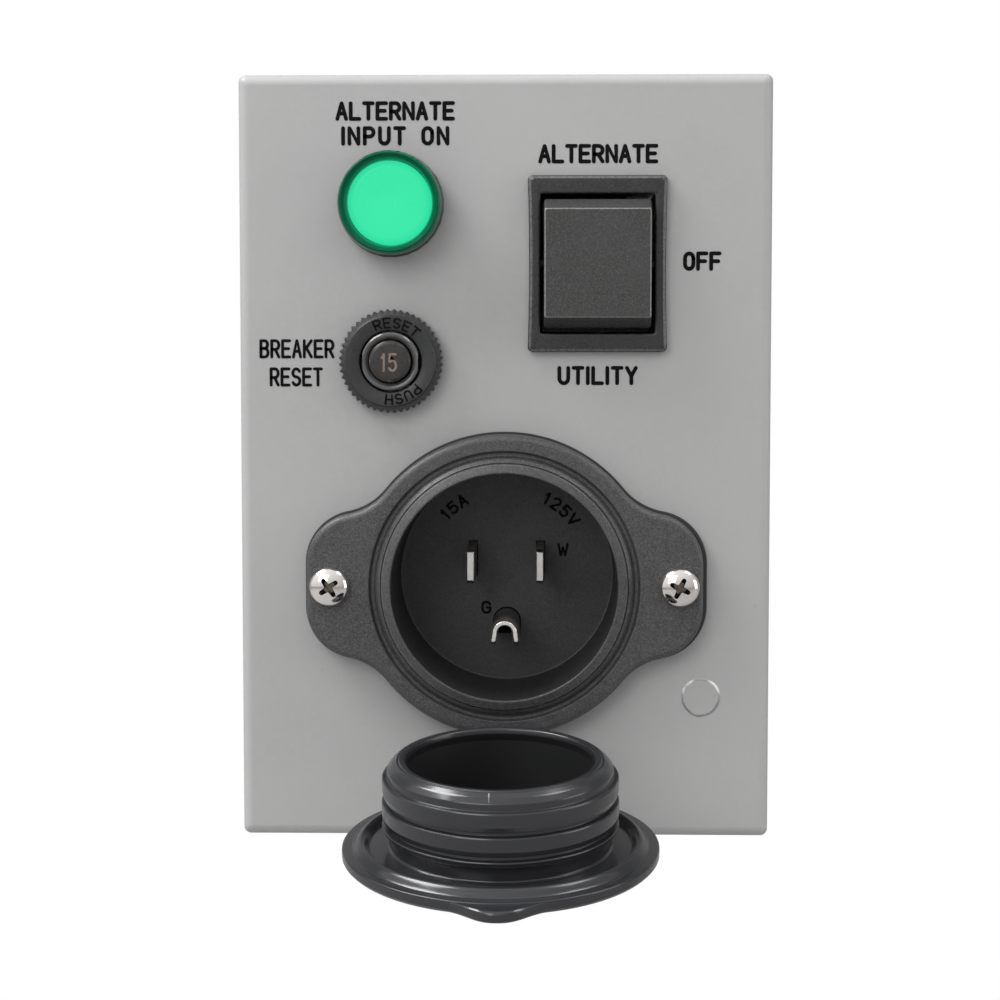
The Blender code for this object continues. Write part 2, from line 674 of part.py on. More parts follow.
# ============================ circuit breaker =================================
KNURL_TEETH = 48
KNURL_TIP_R, KNURL_ROOT_R = 9.35, 8.85
KNURL_STATIONS = ((-0.35, 0.0), (-3.2, 0.0), (-3.75, 0.55))     # y, inset
CASE_LEFT, CASE_RIGHT = -7.5, 7.3        # the right side is closed by the cover
CASE_Y, CASE_Z = (7.2, 38.0), (-16.0, 13.0)
CASE_SIDE_WALL, CASE_END_WALL = 1.5, 1.6
BREAKER_TABS = (("line", -9.5), ("load", 7.0))     # name, z
SPRING_TURNS, SPRING_STEPS = 4, 8
SPRING_R, SPRING_WIRE_R = 3.1, 0.3
SPRING_Y, SPRING_LENGTH = 15.1, 5.2

# (radius, y) profiles
BUSHING = [
    (4.15, 6.9), (4.15, -4.3), (4.4, -4.6), (4.9, -4.6),
    (5.2, -4.3), (5.2, 5.2), (6.8, 5.2), (6.8, 6.9),
]
BUTTON = [
    (0, -6.0), (3.0, -5.95), (3.6, -5.6), (3.75, -5.2), (3.75, 5.0), (1.9, 6.0), (1.9, 13.0),
    (4.6, 13.0), (4.6, 14.2), (1.9, 14.2), (1.9, 22.8), (0, 22.8),
]


def build_bushing():
    """Tube with two flats down its sides."""
    bushing = piece("breaker_bushing", lathe(BUSHING, 20, closed=True), BREAKER)
    cut(bushing, [block(*span(side, 4.95, 6.0), -6, 5.0, -4, 4) for side in (-1, 1)])
    smooth(bushing)


def build_breaker_nuts():
    """Knurled nut ahead of the panel and hexagon nut behind it."""
    steps = KNURL_TEETH * 2
    loops = []
    for y, inset in KNURL_STATIONS:
        loop = []
        for i in range(steps):
            angle = 2 * math.pi * i / steps
            radius = (KNURL_TIP_R if i % 2 else KNURL_ROOT_R) - inset
            loop.append((radius * math.cos(angle), y, radius * math.sin(angle)))
        loops.append(loop)
    nut = piece("breaker_nut", loft(loops), BREAKER)
    cut(nut, [rod(5.5, -6, 3, 20)])
    hex_nut("breaker_back_nut", BREAKER, "zinc_steel", 14.0, BEHIND, 2.4, BUSHING_HOLE_R, 20)


def build_breaker_case():
    """Box open to the right, with a shelf across it, and the cover that closes it."""
    case = piece("breaker_case", block(CASE_LEFT, CASE_RIGHT, *CASE_Y, *CASE_Z), BREAKER)
    cavity = block(
        CASE_LEFT + CASE_SIDE_WALL, 9.0,
        CASE_Y[0] + CASE_END_WALL, CASE_Y[1] - CASE_END_WALL,
        CASE_Z[0] + CASE_SIDE_WALL, CASE_Z[1] - CASE_SIDE_WALL,
    )
    cut(case, [cavity])
    fuse(case, [block(-6.5, 6.9, 21.0, 22.2, -15.0, 12.0)])
    # the button's rod passes the front wall and the shelf
    cuts = [rod(2.3, 5, 12, 16), rod(2.3, 20, 23, 16)]
    cuts += [bar(0, 3.4, 34, 40, z, TAB_SLOT_HALF) for _, z in BREAKER_TABS]
    cut(case, cuts)
    cover_x = CASE_RIGHT + GAP
    piece("breaker_cover", block(cover_x, cover_x + 1.6, *CASE_Y, *CASE_Z), BREAKER)


def build_bimetal():
    """A strip between the terminals' front ends, bowed forward."""
    loops = []
    for i in range(9):
        z = -8.6 + 14.2 * i / 8
        y = 25.9 - 0.9 * math.sin(math.pi * i / 8)
        loops.append([(-2.2, y, z), (2.2, y, z), (2.2, y + 0.7, z), (-2.2, y + 0.7, z)])
    piece("breaker_bimetal", loft(loops), BREAKER, "copper")


def build_spring():
    """Return spring round the button's rod, of square-section wire."""
    steps = SPRING_TURNS * SPRING_STEPS
    back = Vector((0, 1, 0))
    loops = []
    for i in range(steps + 1):
        angle = 2 * math.pi * i / SPRING_STEPS
        out = Vector((math.cos(angle), 0, math.sin(angle)))
        centre = out * SPRING_R + back * (SPRING_Y + SPRING_LENGTH * i / steps)
        loops.append([
            tuple(centre + (out * math.cos(turn) + back * math.sin(turn)) * SPRING_WIRE_R)
            for turn in (0.0, math.pi / 2, math.pi, 3 * math.pi / 2)
        ])
    piece("breaker_spring", loft(loops), BREAKER, "zinc_steel")


def build_breaker():
    build_bushing()
    build_breaker_nuts()
    smooth(piece("breaker_button", lathe(BUTTON, 18), BREAKER))
    build_breaker_case()
    for name, z in BREAKER_TABS:
        tab = bar(0, 3.15, 27.5, 46.0, z, TAB_HALF)
        piece(f"breaker_{name}_terminal", tab, BREAKER, "nickel")
    build_bimetal()
    build_spring()


# ============================ rocker switch ===================================
PIVOT_Y = 1.0                # rocker pivot
ARM_PIVOT_Y = 12.3           # contact arms' pivot
SWITCH_BACK_Y = 20.0
POLES = (("hot", -5.2), ("neutral", 5.2))     # name, x
# name, z, y of the front end
SWITCH_ROWS = (("generator", -9.0, 14.6), ("common", 0.0, 13.4), ("utility", 9.0, 14.6))

# (half x, half z, corner radius, y), from rear to front
BEZEL = ((12.5, 15.75, 0.8, -0.3), (12.5, 15.75, 0.8, -1.6), (11.9, 15.15, 0.8, -2.3))
ROCKER = (
    (9.55, 11.65, 0.5, 2.4), (9.55, 11.65, 0.5, -2.7), (9.5, 9.95, 0.4, -6.2), (9.2, 9.7, 0.3, -6.5),
)
CATCH_STATIONS = ((1.8, 15.0), (5.5, 14.05))     # y, distance of the face from the middle
# (z, y) outline of a contact arm, dished so that its middle rests on the centre terminal
CONTACT_ARM = (
    (-9.6, 12.9), (-9.6, 12.2), (-4.0, 11.75), (-1.5, 12.3), (1.5, 12.3), (4.0, 11.75),
    (9.6, 12.2), (9.6, 12.9), (4.0, 12.5), (1.0, 13.0), (-1.0, 13.0), (-4.0, 12.5),
)


def pivot_rod(radius, half_length):
    """A rod across the switch on the rocker's pivot."""
    return along_x(rod(radius, -half_length, half_length, 16), at=(0, PIVOT_Y, 0))


def catch(side):
    """Wedge on the tube's upper or lower wall."""
    return loft([
        [
            (-4, y, side * 13.5), (4, y, side * 13.5),
            (4, y, side * face), (-4, y, side * face),
        ]
        for y, face in CATCH_STATIONS
    ])


def build_switch_housing():
    housing = piece("switch_housing", rounded_stack(BEZEL), SWITCH)
    fuse(housing, [rounded_prism(10.95, 14.0, 0.5, -1.0, SWITCH_BACK_Y)])
    fuse(housing, [catch(-1), catch(1)])
    cut(housing, [rounded_prism(10.25, 12.45, 0.4, -4.0, 22.0), pivot_rod(1.2, 13)])
    smooth(housing)


def build_rocker():
    """Hollow rocker with a hub and two legs that reach back to the contact arms."""
    rocker = piece(
        "switch_rocker", rounded_stack(ROCKER), SWITCH, "black_plastic", (0.0, PIVOT_Y, 0.0)
    )
    cut(rocker, [block(-8.0, 8.0, -4.6, 4.0, -9.4, 9.4)])
    hub = block(-8.4, 8.4, -5.0, 3.4, -2.4, 2.4)
    fuse(rocker, [hub] + [rod(1.5, 3.0, 11.0, 12, x) for _, x in POLES])
    cut(rocker, [pivot_rod(1.1, 13)])
    smooth(rocker)
    smooth(piece("switch_pivot_pin", pivot_rod(1.0, 10.8), SWITCH, "zinc_steel"))


def build_switch_base():
    """The rear wall, slotted for six terminals."""
    base = piece("switch_base", rounded_prism(9.95, 12.15, 0.4, 16.8, SWITCH_BACK_Y), SWITCH)
    cut(base, [
        bar(x, 2.9, 15, 22, z, TAB_SLOT_HALF) for _, x in POLES for _, z, _ in SWITCH_ROWS
    ])


def build_switch_contacts():
    """Three terminals and one see-saw contact arm per pole."""
    for pole, x in POLES:
        for row, z, front in SWITCH_ROWS:
            tab = bar(x, 2.6, front, 29.0, z, TAB_HALF)
            piece(f"switch_{pole}_{row}_terminal", tab, SWITCH, "nickel")
        arm = loft([[(x + shift, y, z) for z, y in CONTACT_ARM] for shift in (-1.9, 1.9)])
        centre = (x, ARM_PIVOT_Y, 0.0)
        piece(f"switch_{pole}_contact_arm", arm, SWITCH, "copper", centre)


# ============================ wiring ==========================================
POWER_R, LEAD_R = 1.4, 0.9   # wire radii
SPLINE_STEPS = 3             # per stretch between control points

# name, finish, radius, radius at the last point, sides, then control points:
# the device measured from, and x, y, z from its place on the panel's outer face
WIRES = (
    ("wire_inlet_to_breaker", "black_wire", POWER_R, POWER_R, 8, (
        (INLET_AT, -13.0, 34.5, 7.8), (INLET_AT, -16.0, 38.0, 12.0),
        (INLET_AT, -20.0, 48.0, 18.0), (BREAKER_AT, 0.2, 53.5, -17.0),
        (BREAKER_AT, 0.0, 51.5, -10.5), (BREAKER_AT, 0.0, 46.5, -9.5),
    )),
    ("wire_breaker_to_switch", "black_wire", POWER_R, POWER_R, 8, (
        (BREAKER_AT, 0.0, 46.5, 7.0), (BREAKER_AT, 1.0, 51.0, 8.0),
        (BREAKER_AT, 10.0, 54.0, 9.0), (SWITCH_AT, -14.0, 48.0, -9.5),
        (SWITCH_AT, -6.5, 36.0, -9.0), (SWITCH_AT, -5.2, 29.5, -9.0),
    )),
    ("wire_inlet_neutral", "white_wire", POWER_R, POWER_R, 8, (
        (INLET_AT, 13.0, 34.5, 7.8), (INLET_AT, 15.0, 38.0, 12.0),
        (INLET_AT, 20.0, 44.0, 26.0), (SWITCH_AT, 5.0, 40.0, -18.0),
        (SWITCH_AT, 5.2, 35.0, -10.0), (SWITCH_AT, 5.2, 29.5, -9.0),
    )),
    ("wire_ground", "green_wire", POWER_R, POWER_R * 0.9, 8, (
        (INLET_AT, 4.6, 34.5, -15.6), (INLET_AT, 10.0, 35.5, -18.0),
        (INLET_AT, 20.0, 28.0, -24.0), (STUD_AT, -14.0, 12.0, -1.5),
        (STUD_AT, -12.4, 6.0, 0.0), (STUD_AT, -10.3, 5.1, 0.0),
    )),
    ("wire_lamp_live", "black_wire", LEAD_R, LEAD_R, 6, (
        (LAMP_AT, -3.6, 34.0, 0.0), (LAMP_AT, -4.0, 38.0, -0.5),
        (LAMP_AT, -7.0, 48.0, -8.0), (BREAKER_AT, -6.0, 50.5, 14.0),
        (BREAKER_AT, -2.6, 49.5, 10.0), (BREAKER_AT, -2.2, 47.0, 8.6),
    )),
    ("wire_lamp_neutral", "white_wire", LEAD_R, LEAD_R, 6, (
        (LAMP_AT, 3.6, 34.0, 0.0), (LAMP_AT, 6.0, 38.0, -0.5),
        (LAMP_AT, 20.0, 46.0, -6.0), (SWITCH_AT, 0.0, 46.0, -12.0),
        (SWITCH_AT, 7.0, 40.0, -13.5), (SWITCH_AT, 9.3, 30.5, -11.6),
    )),
)


def spline(points):
    """Catmull-Rom through (x, y, z, radius) points."""
    result = []
    ends = [points[0]] + points + [points[-1]]
    for p0, p1, p2, p3 in zip(ends, ends[1:], ends[2:], ends[3:]):
        for step in range(SPLINE_STEPS):
            t = step / SPLINE_STEPS
            result.append(tuple(
                0.5 * (
                    2 * p1[c]
                    + (p2[c] - p0[c]) * t
                    + (2 * p0[c] - 5 * p1[c] + 4 * p2[c] - p3[c]) * t * t
                    + (3 * p1[c] - p0[c] - 3 * p2[c] + p3[c]) * t**3
                )
                for c in range(4)
            ))
    result.append(points[-1])
    return result


def build_wire(name, finish, radius, end_radius, sides, route):
    """A round wire, its section carried along the path without twisting."""
    points = [(at[0] + x, -DEPTH + y, at[1] + z, radius) for at, x, y, z in route]
    points[-1] = (*points[-1][:3], end_radius)
    path = spline(points)
    spots = [Vector(point[:3]) for point in path]
    angles = [2 * math.pi * k / sides for k in range(sides)]
    loops = []
    across = None
    for i, spot in enumerate(spots):
        ahead = spots[min(i + 1, len(spots) - 1)] - spots[max(i - 1, 0)]
        ahead.normalize()
        if across is None:
            across = ahead.orthogonal().normalized()
        across = (across - ahead * across.dot(ahead)).normalized()
        up = ahead.cross(across)
        size = path[i][3]
        loops.append([
            tuple(spot + across * size * math.cos(a) + up * size * math.sin(a))
            for a in angles
        ])
    smooth(piece(name, loft(loops), ENCLOSURE, finish), angle=50)


# ============================ build ===========================================
build_shell()
build_back_plate()
build_cover_screws()
build_ground_stud()

build_inlet_gasket()
build_inlet_flange()
build_rear_body()
build_contacts()
build_terminal_screws()
build_flange_screws()
build_strap_root()
build_cap()

build_lamp()
build_breaker()

build_switch_housing()
build_rocker()
build_switch_base()
build_switch_contacts()

for wire in WIRES:
    build_wire(*wire)
bpy.context.view_layer.update()
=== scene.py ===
"""A power inlet box: a grey sheet-steel enclosure with a flanged inlet under a hinged rubber cap,
a pilot lamp, a circuit breaker and a rocker switch, all on its front panel.

The front panel faces -Y, +X is to the right as it is seen from the front, and +Z is up. Lengths
are in millimetres unless noted, and become metres through MM. The parts on the panel are drawn
about their own centre on its face, so a negative y there stands proud of the panel.
"""
import json
from math import acos, asin, atan2, copysign, cos, hypot, pi, radians, sin, tan

import bpy
import bmesh
from mathutils import Matrix, Vector


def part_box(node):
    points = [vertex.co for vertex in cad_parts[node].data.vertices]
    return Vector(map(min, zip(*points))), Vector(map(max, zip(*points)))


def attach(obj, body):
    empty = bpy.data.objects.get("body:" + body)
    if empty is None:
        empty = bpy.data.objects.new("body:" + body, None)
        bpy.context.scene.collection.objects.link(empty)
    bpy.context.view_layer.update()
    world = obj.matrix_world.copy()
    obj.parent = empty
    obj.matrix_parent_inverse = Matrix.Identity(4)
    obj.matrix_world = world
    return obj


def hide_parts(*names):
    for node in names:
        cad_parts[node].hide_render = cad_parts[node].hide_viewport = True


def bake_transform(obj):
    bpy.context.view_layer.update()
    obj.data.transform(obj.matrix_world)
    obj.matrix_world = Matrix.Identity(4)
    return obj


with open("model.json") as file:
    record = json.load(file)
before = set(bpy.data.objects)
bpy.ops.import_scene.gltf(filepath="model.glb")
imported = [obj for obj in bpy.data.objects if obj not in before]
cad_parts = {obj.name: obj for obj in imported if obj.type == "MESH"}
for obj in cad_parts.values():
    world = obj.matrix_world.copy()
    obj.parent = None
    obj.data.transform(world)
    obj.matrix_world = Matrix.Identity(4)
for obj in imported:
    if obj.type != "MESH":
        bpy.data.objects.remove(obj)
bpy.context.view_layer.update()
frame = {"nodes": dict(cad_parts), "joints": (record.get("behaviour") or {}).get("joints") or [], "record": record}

NODES = frame["nodes"]
JOINTS = {joint["name"]: joint for joint in frame["joints"]}
MM = 0.001
ZERO = Vector((0, 0, 0))

# ------------------------------------------------------------------ positions


def box_mm(node):
    return [corner * 1000 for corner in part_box(node)]


def middle(node):
    low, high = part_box(node)
    return (low + high) / 2 * 1000


def on_panel(node):
    """The node's centre, moved to the panel's face."""
    centre = middle(node)
    return Vector((centre.x, PANEL_Y, centre.z))


shell_low, shell_high = box_mm("enclosure_shell")
PANEL_Y, REAR_Y = shell_low.y, shell_high.y
HALF_W, HALF_H = shell_high.x, shell_high.z
SHEET = 1.4  # thickness of the enclosure's sheet

hinge = [value * 1000 for value in JOINTS["cap_hinge"]["pos_m"]]
rocker_axis = [value * 1000 for value in JOINTS["rocker_tilt"]["pos_m"]]
INLET = Vector((0.0, PANEL_Y, (middle("flange_nut_left").z + middle("flange_nut_right").z) / 2))
LAMP = on_panel("lamp_locknut")
BREAKER = on_panel("breaker_back_nut")
STUD = on_panel("ground_nut")
SWITCH = Vector((rocker_axis[0], PANEL_Y, rocker_axis[2]))
FLANGE_SCREW_X = middle("flange_nut_right").x
COVER_SCREW_Y, COVER_SCREW_Z = -8, 48
HINGE_Y, HINGE_Z = hinge[1] - PANEL_Y, hinge[2] - INLET.z
ROCKER_PIVOT_Y = rocker_axis[1] - PANEL_Y
CAP_OPEN = radians(-JOINTS["cap_hinge"]["range_deg"][0])

# ------------------------------------------------------------------ shapes
# A shape is a pair (verts, faces). A loop is a ring of (x, y, z) points.


def loft(loops, closed=False):
    """Skins loops of equal length; closed joins the last to the first, else both ends are capped."""
    count = len(loops[0])
    verts = [tuple(point) for loop in loops for point in loop]
    faces = []
    for k in range(len(loops) if closed else len(loops) - 1):
        a, b = k * count, ((k + 1) % len(loops)) * count
        for i in range(count):
            j = (i + 1) % count
            faces.append((a + i, a + j, b + j, b + i))
    if not closed:
        faces.append(tuple(range(count - 1, -1, -1)))
        faces.append(tuple(range((len(loops) - 1) * count, len(loops) * count)))
    return verts, faces


def lathe(profile, segments, x=0.0, closed=False):
    """Turns (radius, y) points round the Y axis through x."""
    verts, rows, faces = [], [], []
    for radius, y in profile:
        if radius < 1e-6:
            rows.append([len(verts)])
            verts.append((x, y, 0.0))
        else:
            rows.append(list(range(len(verts), len(verts) + segments)))
            verts += circle(radius, y, segments, x)
    for a, b in zip(rows, rows[1:] + ([rows[0]] if closed else [])):
        for i in range(segments):
            j = (i + 1) % segments
            if len(a) == 1 and len(b) > 1:
                faces.append((a[0], b[i], b[j]))
            elif len(b) == 1 and len(a) > 1:
                faces.append((a[i], a[j], b[0]))
            elif len(a) > 1:
                faces.append((a[i], a[j], b[j], b[i]))
    return verts, faces


def circle(radius, y, segments, x=0.0, z=0.0, phase=0.0):
    """A loop in the XZ plane; phase turns it by a part of a segment."""
    angles = [2 * pi * (i + phase) / segments for i in range(segments)]
    return [(x + radius * cos(angle), y, z + radius * sin(angle)) for angle in angles]


def rod(radius, front, back, x=0.0, z=0.0, segments=48):
    return loft([circle(radius, y, segments, x, z, 0.31) for y in (front, back)])


def box(xs, ys, zs):
    """A box between two values on each axis."""
    left, right = sorted(xs)
    low, high = sorted(zs)
    corners = ((left, low), (right, low), (right, high), (left, high))
    return loft([[(x, y, z) for x, z in corners] for y in ys])


def turned(shape, y, z, sign=1):
    """A shape made about the Y axis, turned so that its -Y end points along sign X."""
    verts, faces = shape
    return [(-sign * v[1], y + v[0], z + v[2]) for v in verts], faces


def thread(start, stop, pitch, ridge):
    """Profile of a thread: the ridge's (radius, y offset) points, once each pitch."""
    points = []
    y = start
    while y < stop:
        points += [(radius, y + offset) for radius, offset in ridge]
        y += pitch
    return points


def arc(x, z, radius_x, radius_z, start, end, steps=8):
    """Points on part of an ellipse, from start to end in degrees."""
    angles = [radians(start + (end - start) * i / steps) for i in range(steps + 1)]
    return [(x + radius_x * cos(angle), z + radius_z * sin(angle)) for angle in angles]


def swing(x, z, radius, start, sweep, steps):
    """Points on part of a circle, in radians."""
    angles = [start + sweep * i / steps for i in range(steps + 1)]
    return [(x + radius * cos(angle), z + radius * sin(angle)) for angle in angles]


def fillet(corners, steps):
    """Rounds the corners of a polyline, given as (first, second coordinate, rounding) rows."""
    points = [Vector(corner[:2]) for corner in corners]
    out = []
    for i, p in enumerate(points):
        rounding = corners[i][2]
        if i in (0, len(points) - 1) or rounding <= 0:
            out.append(tuple(p))
            continue
        back, ahead = points[i - 1] - p, points[i + 1] - p
        back_length, ahead_length = back.length, ahead.length
        back.normalize()
        ahead.normalize()
        angle = acos(max(-1.0, min(1.0, back.dot(ahead))))
        if not 0.02 <= angle <= pi - 0.02:
            out.append(tuple(p))
            continue
        cut = min(rounding / tan(angle / 2), back_length * 0.48, ahead_length * 0.48)
        start, end = p + back * cut, p + ahead * cut
        for step in range(steps + 1):
            t = step / steps
            # quadratic curve through the corner, close to an arc at these sizes
            out.append(tuple(start * (1 - t) ** 2 + p * 2 * t * (1 - t) + end * t * t))
    return out


def rounded(half_x, half_z, radius, y, steps, waist=0.0, centre=(0.0, 0.0)):
    """A rounded rectangle in the XZ plane. waist pulls the long sides in."""
    side_steps = 10 if waist else 1
    corners = [
        [
            (
                side_x * (half_x - radius) + radius * cos(pi / 2 * (k + i / steps)),
                side_z * (half_z - radius) + radius * sin(pi / 2 * (k + i / steps)),
            )
            for i in range(steps + 1)
        ]
        for k, (side_x, side_z) in enumerate(((1, 1), (-1, 1), (-1, -1), (1, -1)))
    ]
    points = []
    for corner, following in zip(corners, corners[1:] + corners[:1]):
        points += corner
        a, b = corner[-1], following[0]
        for i in range(1, side_steps):
            part = [a[n] + (b[n] - a[n]) * i / side_steps for n in (0, 1)]
            points.append(tuple(part))
    loop = []
    for x, z in points:
        if waist:
            pull = waist * (1 - min(1.0, abs(z) / half_z) ** 2)
            x = x - copysign(pull, x) * min(1.0, abs(x) / half_x) ** 4
        loop.append((centre[0] + x, y, centre[1] + z))
    return loop


# ------------------------------------------------------------------ objects


def new_object(name, verts, faces, material=None):
    """An object from points in metres."""
    mesh = bpy.data.meshes.new(name)
    mesh.from_pydata(verts, [], faces)
    obj = bpy.data.objects.new(name, mesh)
    bpy.context.scene.collection.objects.link(obj)
    if material:
        mesh.materials.append(material)
    return obj


def mesh_object(name, shape, material=None, origin=ZERO, smooth=0):
    """A closed mesh from a shape measured from origin. smooth is the sharp angle, 0 for flat."""
    verts = [tuple((v[n] + origin[n]) * MM for n in range(3)) for v in shape[0]]
    obj = new_object(name, verts, shape[1], material)
    bm = bmesh.new()
    bm.from_mesh(obj.data)
    bmesh.ops.recalc_face_normals(bm, faces=bm.faces)
    if bm.calc_volume(signed=True) < 0:
        bmesh.ops.reverse_faces(bm, faces=bm.faces)
    bm.to_mesh(obj.data)
    bm.free()
    if smooth:
        shade(obj, smooth)
    return obj


def shade(obj, angle):
    obj.data.shade_smooth()
    obj.data.set_sharp_from_angle(angle=radians(angle))


def combine(target, shapes, origin=ZERO, operation="DIFFERENCE"):
    """Cuts the shapes out of target, or joins them to it."""
    tools = [mesh_object("cutter", shape, origin=origin) for shape in shapes]
    for tool in tools:
        modifier = target.modifiers.new("cut", "BOOLEAN")
        modifier.operation = operation
        modifier.solver = "EXACT"
        modifier.object = tool
    bpy.context.view_layer.update()
    graph = bpy.context.evaluated_depsgraph_get()
    graph.update()
    result = bpy.data.meshes.new_from_object(target.evaluated_get(graph))
    target.modifiers.clear()
    materials = list(target.data.materials)
    result.materials.clear()
    for material in materials:
        result.materials.append(material)
    for polygon in result.polygons:
        polygon.material_index = 0
    old = target.data
    target.data = result
    bpy.data.meshes.remove(old)
    for tool in tools:
        bpy.data.objects.remove(tool, do_unlink=True)


def tidy(obj, angle):
    """Welds what a boolean leaves behind, then shades smooth up to angle."""
    weld = 1e-7
    bm = bmesh.new()
    bm.from_mesh(obj.data)
    bmesh.ops.remove_doubles(bm, verts=bm.verts, dist=weld)
    bmesh.ops.dissolve_degenerate(bm, dist=weld, edges=bm.edges)
    bm.to_mesh(obj.data)
    bm.free()
    shade(obj, angle)


def mark_faces(obj, origin, tests):
    """Gives faces another material by their centre; the first test that passes wins."""
    for material, _ in tests:
        obj.data.materials.append(material)
    for polygon in obj.data.polygons:
        centre = polygon.center * 1000 - origin
        for k, (_, test) in enumerate(tests):
            if test(centre):
                polygon.material_index = k + 1
                break


def even_normals(obj):
    modifier = obj.modifiers.new("normals", "WEIGHTED_NORMAL")
    modifier.keep_sharp = True
    modifier.weight = 60


def finish_piece(obj, body, slot, *replaced):
    even_normals(obj)
    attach(obj, body)
    if replaced:
        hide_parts(*replaced)


# ------------------------------------------------------------------ shading


class Shading:
    """Writes a material's or world's node tree. Textures run on object coordinates in metres."""

    def __init__(self, owner, main="Principled BSDF"):
        owner.use_nodes = True
        self.owner = owner
        self.tree = owner.node_tree
        self.shader = self.tree.nodes[main]
        self.coord_node = self.add("ShaderNodeTexCoord")
        self.coords = self.coord_node.outputs["Object"]

    def put(self, socket, value):
        """value is another socket, a colour as a tuple of three, or a plain value."""
        if hasattr(value, "links"):
            self.tree.links.new(value, socket)
        elif isinstance(value, tuple):
            socket.default_value = (*value, 1.0)
        else:
            socket.default_value = value

    def add(self, kind, inputs=None, **settings):
        node = self.tree.nodes.new(kind)
        for key, value in settings.items():
            setattr(node, key, value)
        for key, value in (inputs or {}).items():
            self.put(node.inputs[key], value)
        return node

    def noise(self, scale, detail=2.0, rough=0.5, stretch=None):
        vector = self.coords
        inputs = {"Scale": scale, "Detail": detail, "Roughness": rough}
        if stretch:
            mapping = self.add("ShaderNodeMapping", {"Vector": vector})
            mapping.inputs["Scale"].default_value = stretch
            vector = mapping.outputs["Vector"]
        return self.add("ShaderNodeTexNoise", {**inputs, "Vector": vector}).outputs["Fac"]

    def ramp(self, value, over=(0.3, 0.7), to=(0.0, 1.0)):
        """Maps the range over onto the range to, clamped."""
        inputs = {
            "From Min": over[0], "From Max": over[1], "To Min": to[0], "To Max": to[1],
            "Value": value,
        }
        return self.add("ShaderNodeMapRange", inputs).outputs["Result"]

    def mix(self, factor, low, high):
        """Colour mix: low where factor is 0, high where it is 1."""
        return self.add("ShaderNodeMix", {0: factor, 6: low, 7: high}, data_type="RGBA").outputs[2]

    def math(self, operation, a, b=0.0):
        return self.add("ShaderNodeMath", {0: a, 1: b}, operation=operation).outputs[0]

    def dots(self, scale, edge, patches):
        """Dots round scattered points, fading over the distances in edge, only inside patches."""
        cells = self.add("ShaderNodeTexVoronoi", {"Scale": scale, "Vector": self.coords})
        dot = self.ramp(cells.outputs["Distance"], over=edge, to=(1.0, 0.0))
        return self.math("MULTIPLY", dot, patches)

    def bump(self, height, strength, depth, under=None):
        """depth is in mm; under is a normal to bump further."""
        inputs = {"Strength": strength, "Distance": depth * MM, "Height": height}
        if under:
            inputs["Normal"] = under
        return self.add("ShaderNodeBump", inputs).outputs["Normal"]

    def surface(self, inputs):
        """Sets the main shader's inputs and returns the material."""
        for name, value in inputs.items():
            self.put(self.shader.inputs[name], value)
        return self.owner

    def white_to_camera(self, kind, output):
        """The camera sees plain white; light bouncing elsewhere sees the main shader."""
        white = self.add(kind, {"Color": (1.0, 1.0, 1.0), "Strength": 1.0})
        path = self.add("ShaderNodeLightPath")
        choose = self.add("ShaderNodeMixShader", {
            0: path.outputs["Is Camera Ray"], 1: self.shader.outputs[0], 2: white.outputs[0],
        })
        self.put(self.tree.nodes[output].inputs["Surface"], choose.outputs[0])


def new_look(name):
    return Shading(bpy.data.materials.new(name))


def scaled(colour, by, plus=0.0):
    return tuple(c * by + plus for c in colour)


# ------------------------------------------------------------------ materials


def paint():
    look = new_look("grey_powder_coat")
    broad = look.noise(scale=28)
    fine = look.noise(scale=950, detail=3, rough=0.55)
    patches = look.ramp(look.noise(scale=95, detail=1), over=(0.60, 0.66))
    spots = look.dots(scale=150, edge=(0.0, 0.075), patches=patches)
    base = look.mix(
        look.ramp(broad, over=(0.35, 0.65)), low=(0.368, 0.367, 0.365), high=(0.392, 0.391, 0.389)
    )
    base = look.mix(look.ramp(fine, to=(0.0, 0.5)), low=base, high=(0.408, 0.407, 0.405))
    base = look.mix(look.math("MULTIPLY", spots, 0.35), low=base, high=(0.2, 0.2, 0.2))
    peel = look.bump(look.noise(scale=620), strength=0.36, depth=0.05)
    return look.surface({
        "Base Color": base,
        "Roughness": look.ramp(look.noise(scale=420, detail=3), to=(0.42, 0.54)),
        "Normal": look.bump(look.noise(scale=2200), strength=0.30, depth=0.03, under=peel),
        "Specular IOR Level": 0.5,
    })


def weld_mark_light_paint():
    """Grey paint with painted light on the weld mark: a painted highlight at its upper sides and painted shade
    along its lower half.
    """
    look = new_look("grey_powder_coat_painted_light")
    mottle = look.noise(scale=420, detail=3, rough=0.65)
    split = look.add("ShaderNodeSeparateXYZ", {0: look.coords})
    height = look.math("SUBTRACT", split.outputs["Z"], STUD.z * MM)
    aside = look.math("ABSOLUTE", look.math("SUBTRACT", split.outputs["X"], STUD.x * MM))
    # painted shade: darker grey along the weld mark's lower half
    painted_shade_grey = look.mix(
        look.ramp(mottle, over=(0.35, 0.65)), low=(0.16, 0.16, 0.16), high=(0.27, 0.27, 0.268)
    )
    # painted highlight: near-white grey on the weld mark's upper sides
    painted_highlight_grey = look.mix(
        look.ramp(mottle, over=(0.28, 0.48)), low=(0.38, 0.38, 0.377), high=(0.86, 0.86, 0.855)
    )
    upper = look.ramp(height, over=(0.5 * MM, 1.5 * MM))
    upper_sides = look.math("MULTIPLY", upper, look.ramp(aside, over=(1.1 * MM, 1.9 * MM)))
    lower = look.ramp(height, over=(-1.2 * MM, 0.8 * MM))
    base = look.mix(lower, low=painted_shade_grey, high=(0.37, 0.37, 0.368))
    return look.surface({
        "Base Color": look.mix(upper_sides, low=base, high=painted_highlight_grey),
        "Roughness": look.ramp(mottle, to=(0.35, 0.5)),
        "Normal": look.bump(look.noise(scale=1500, detail=3), strength=0.4, depth=0.04),
    })


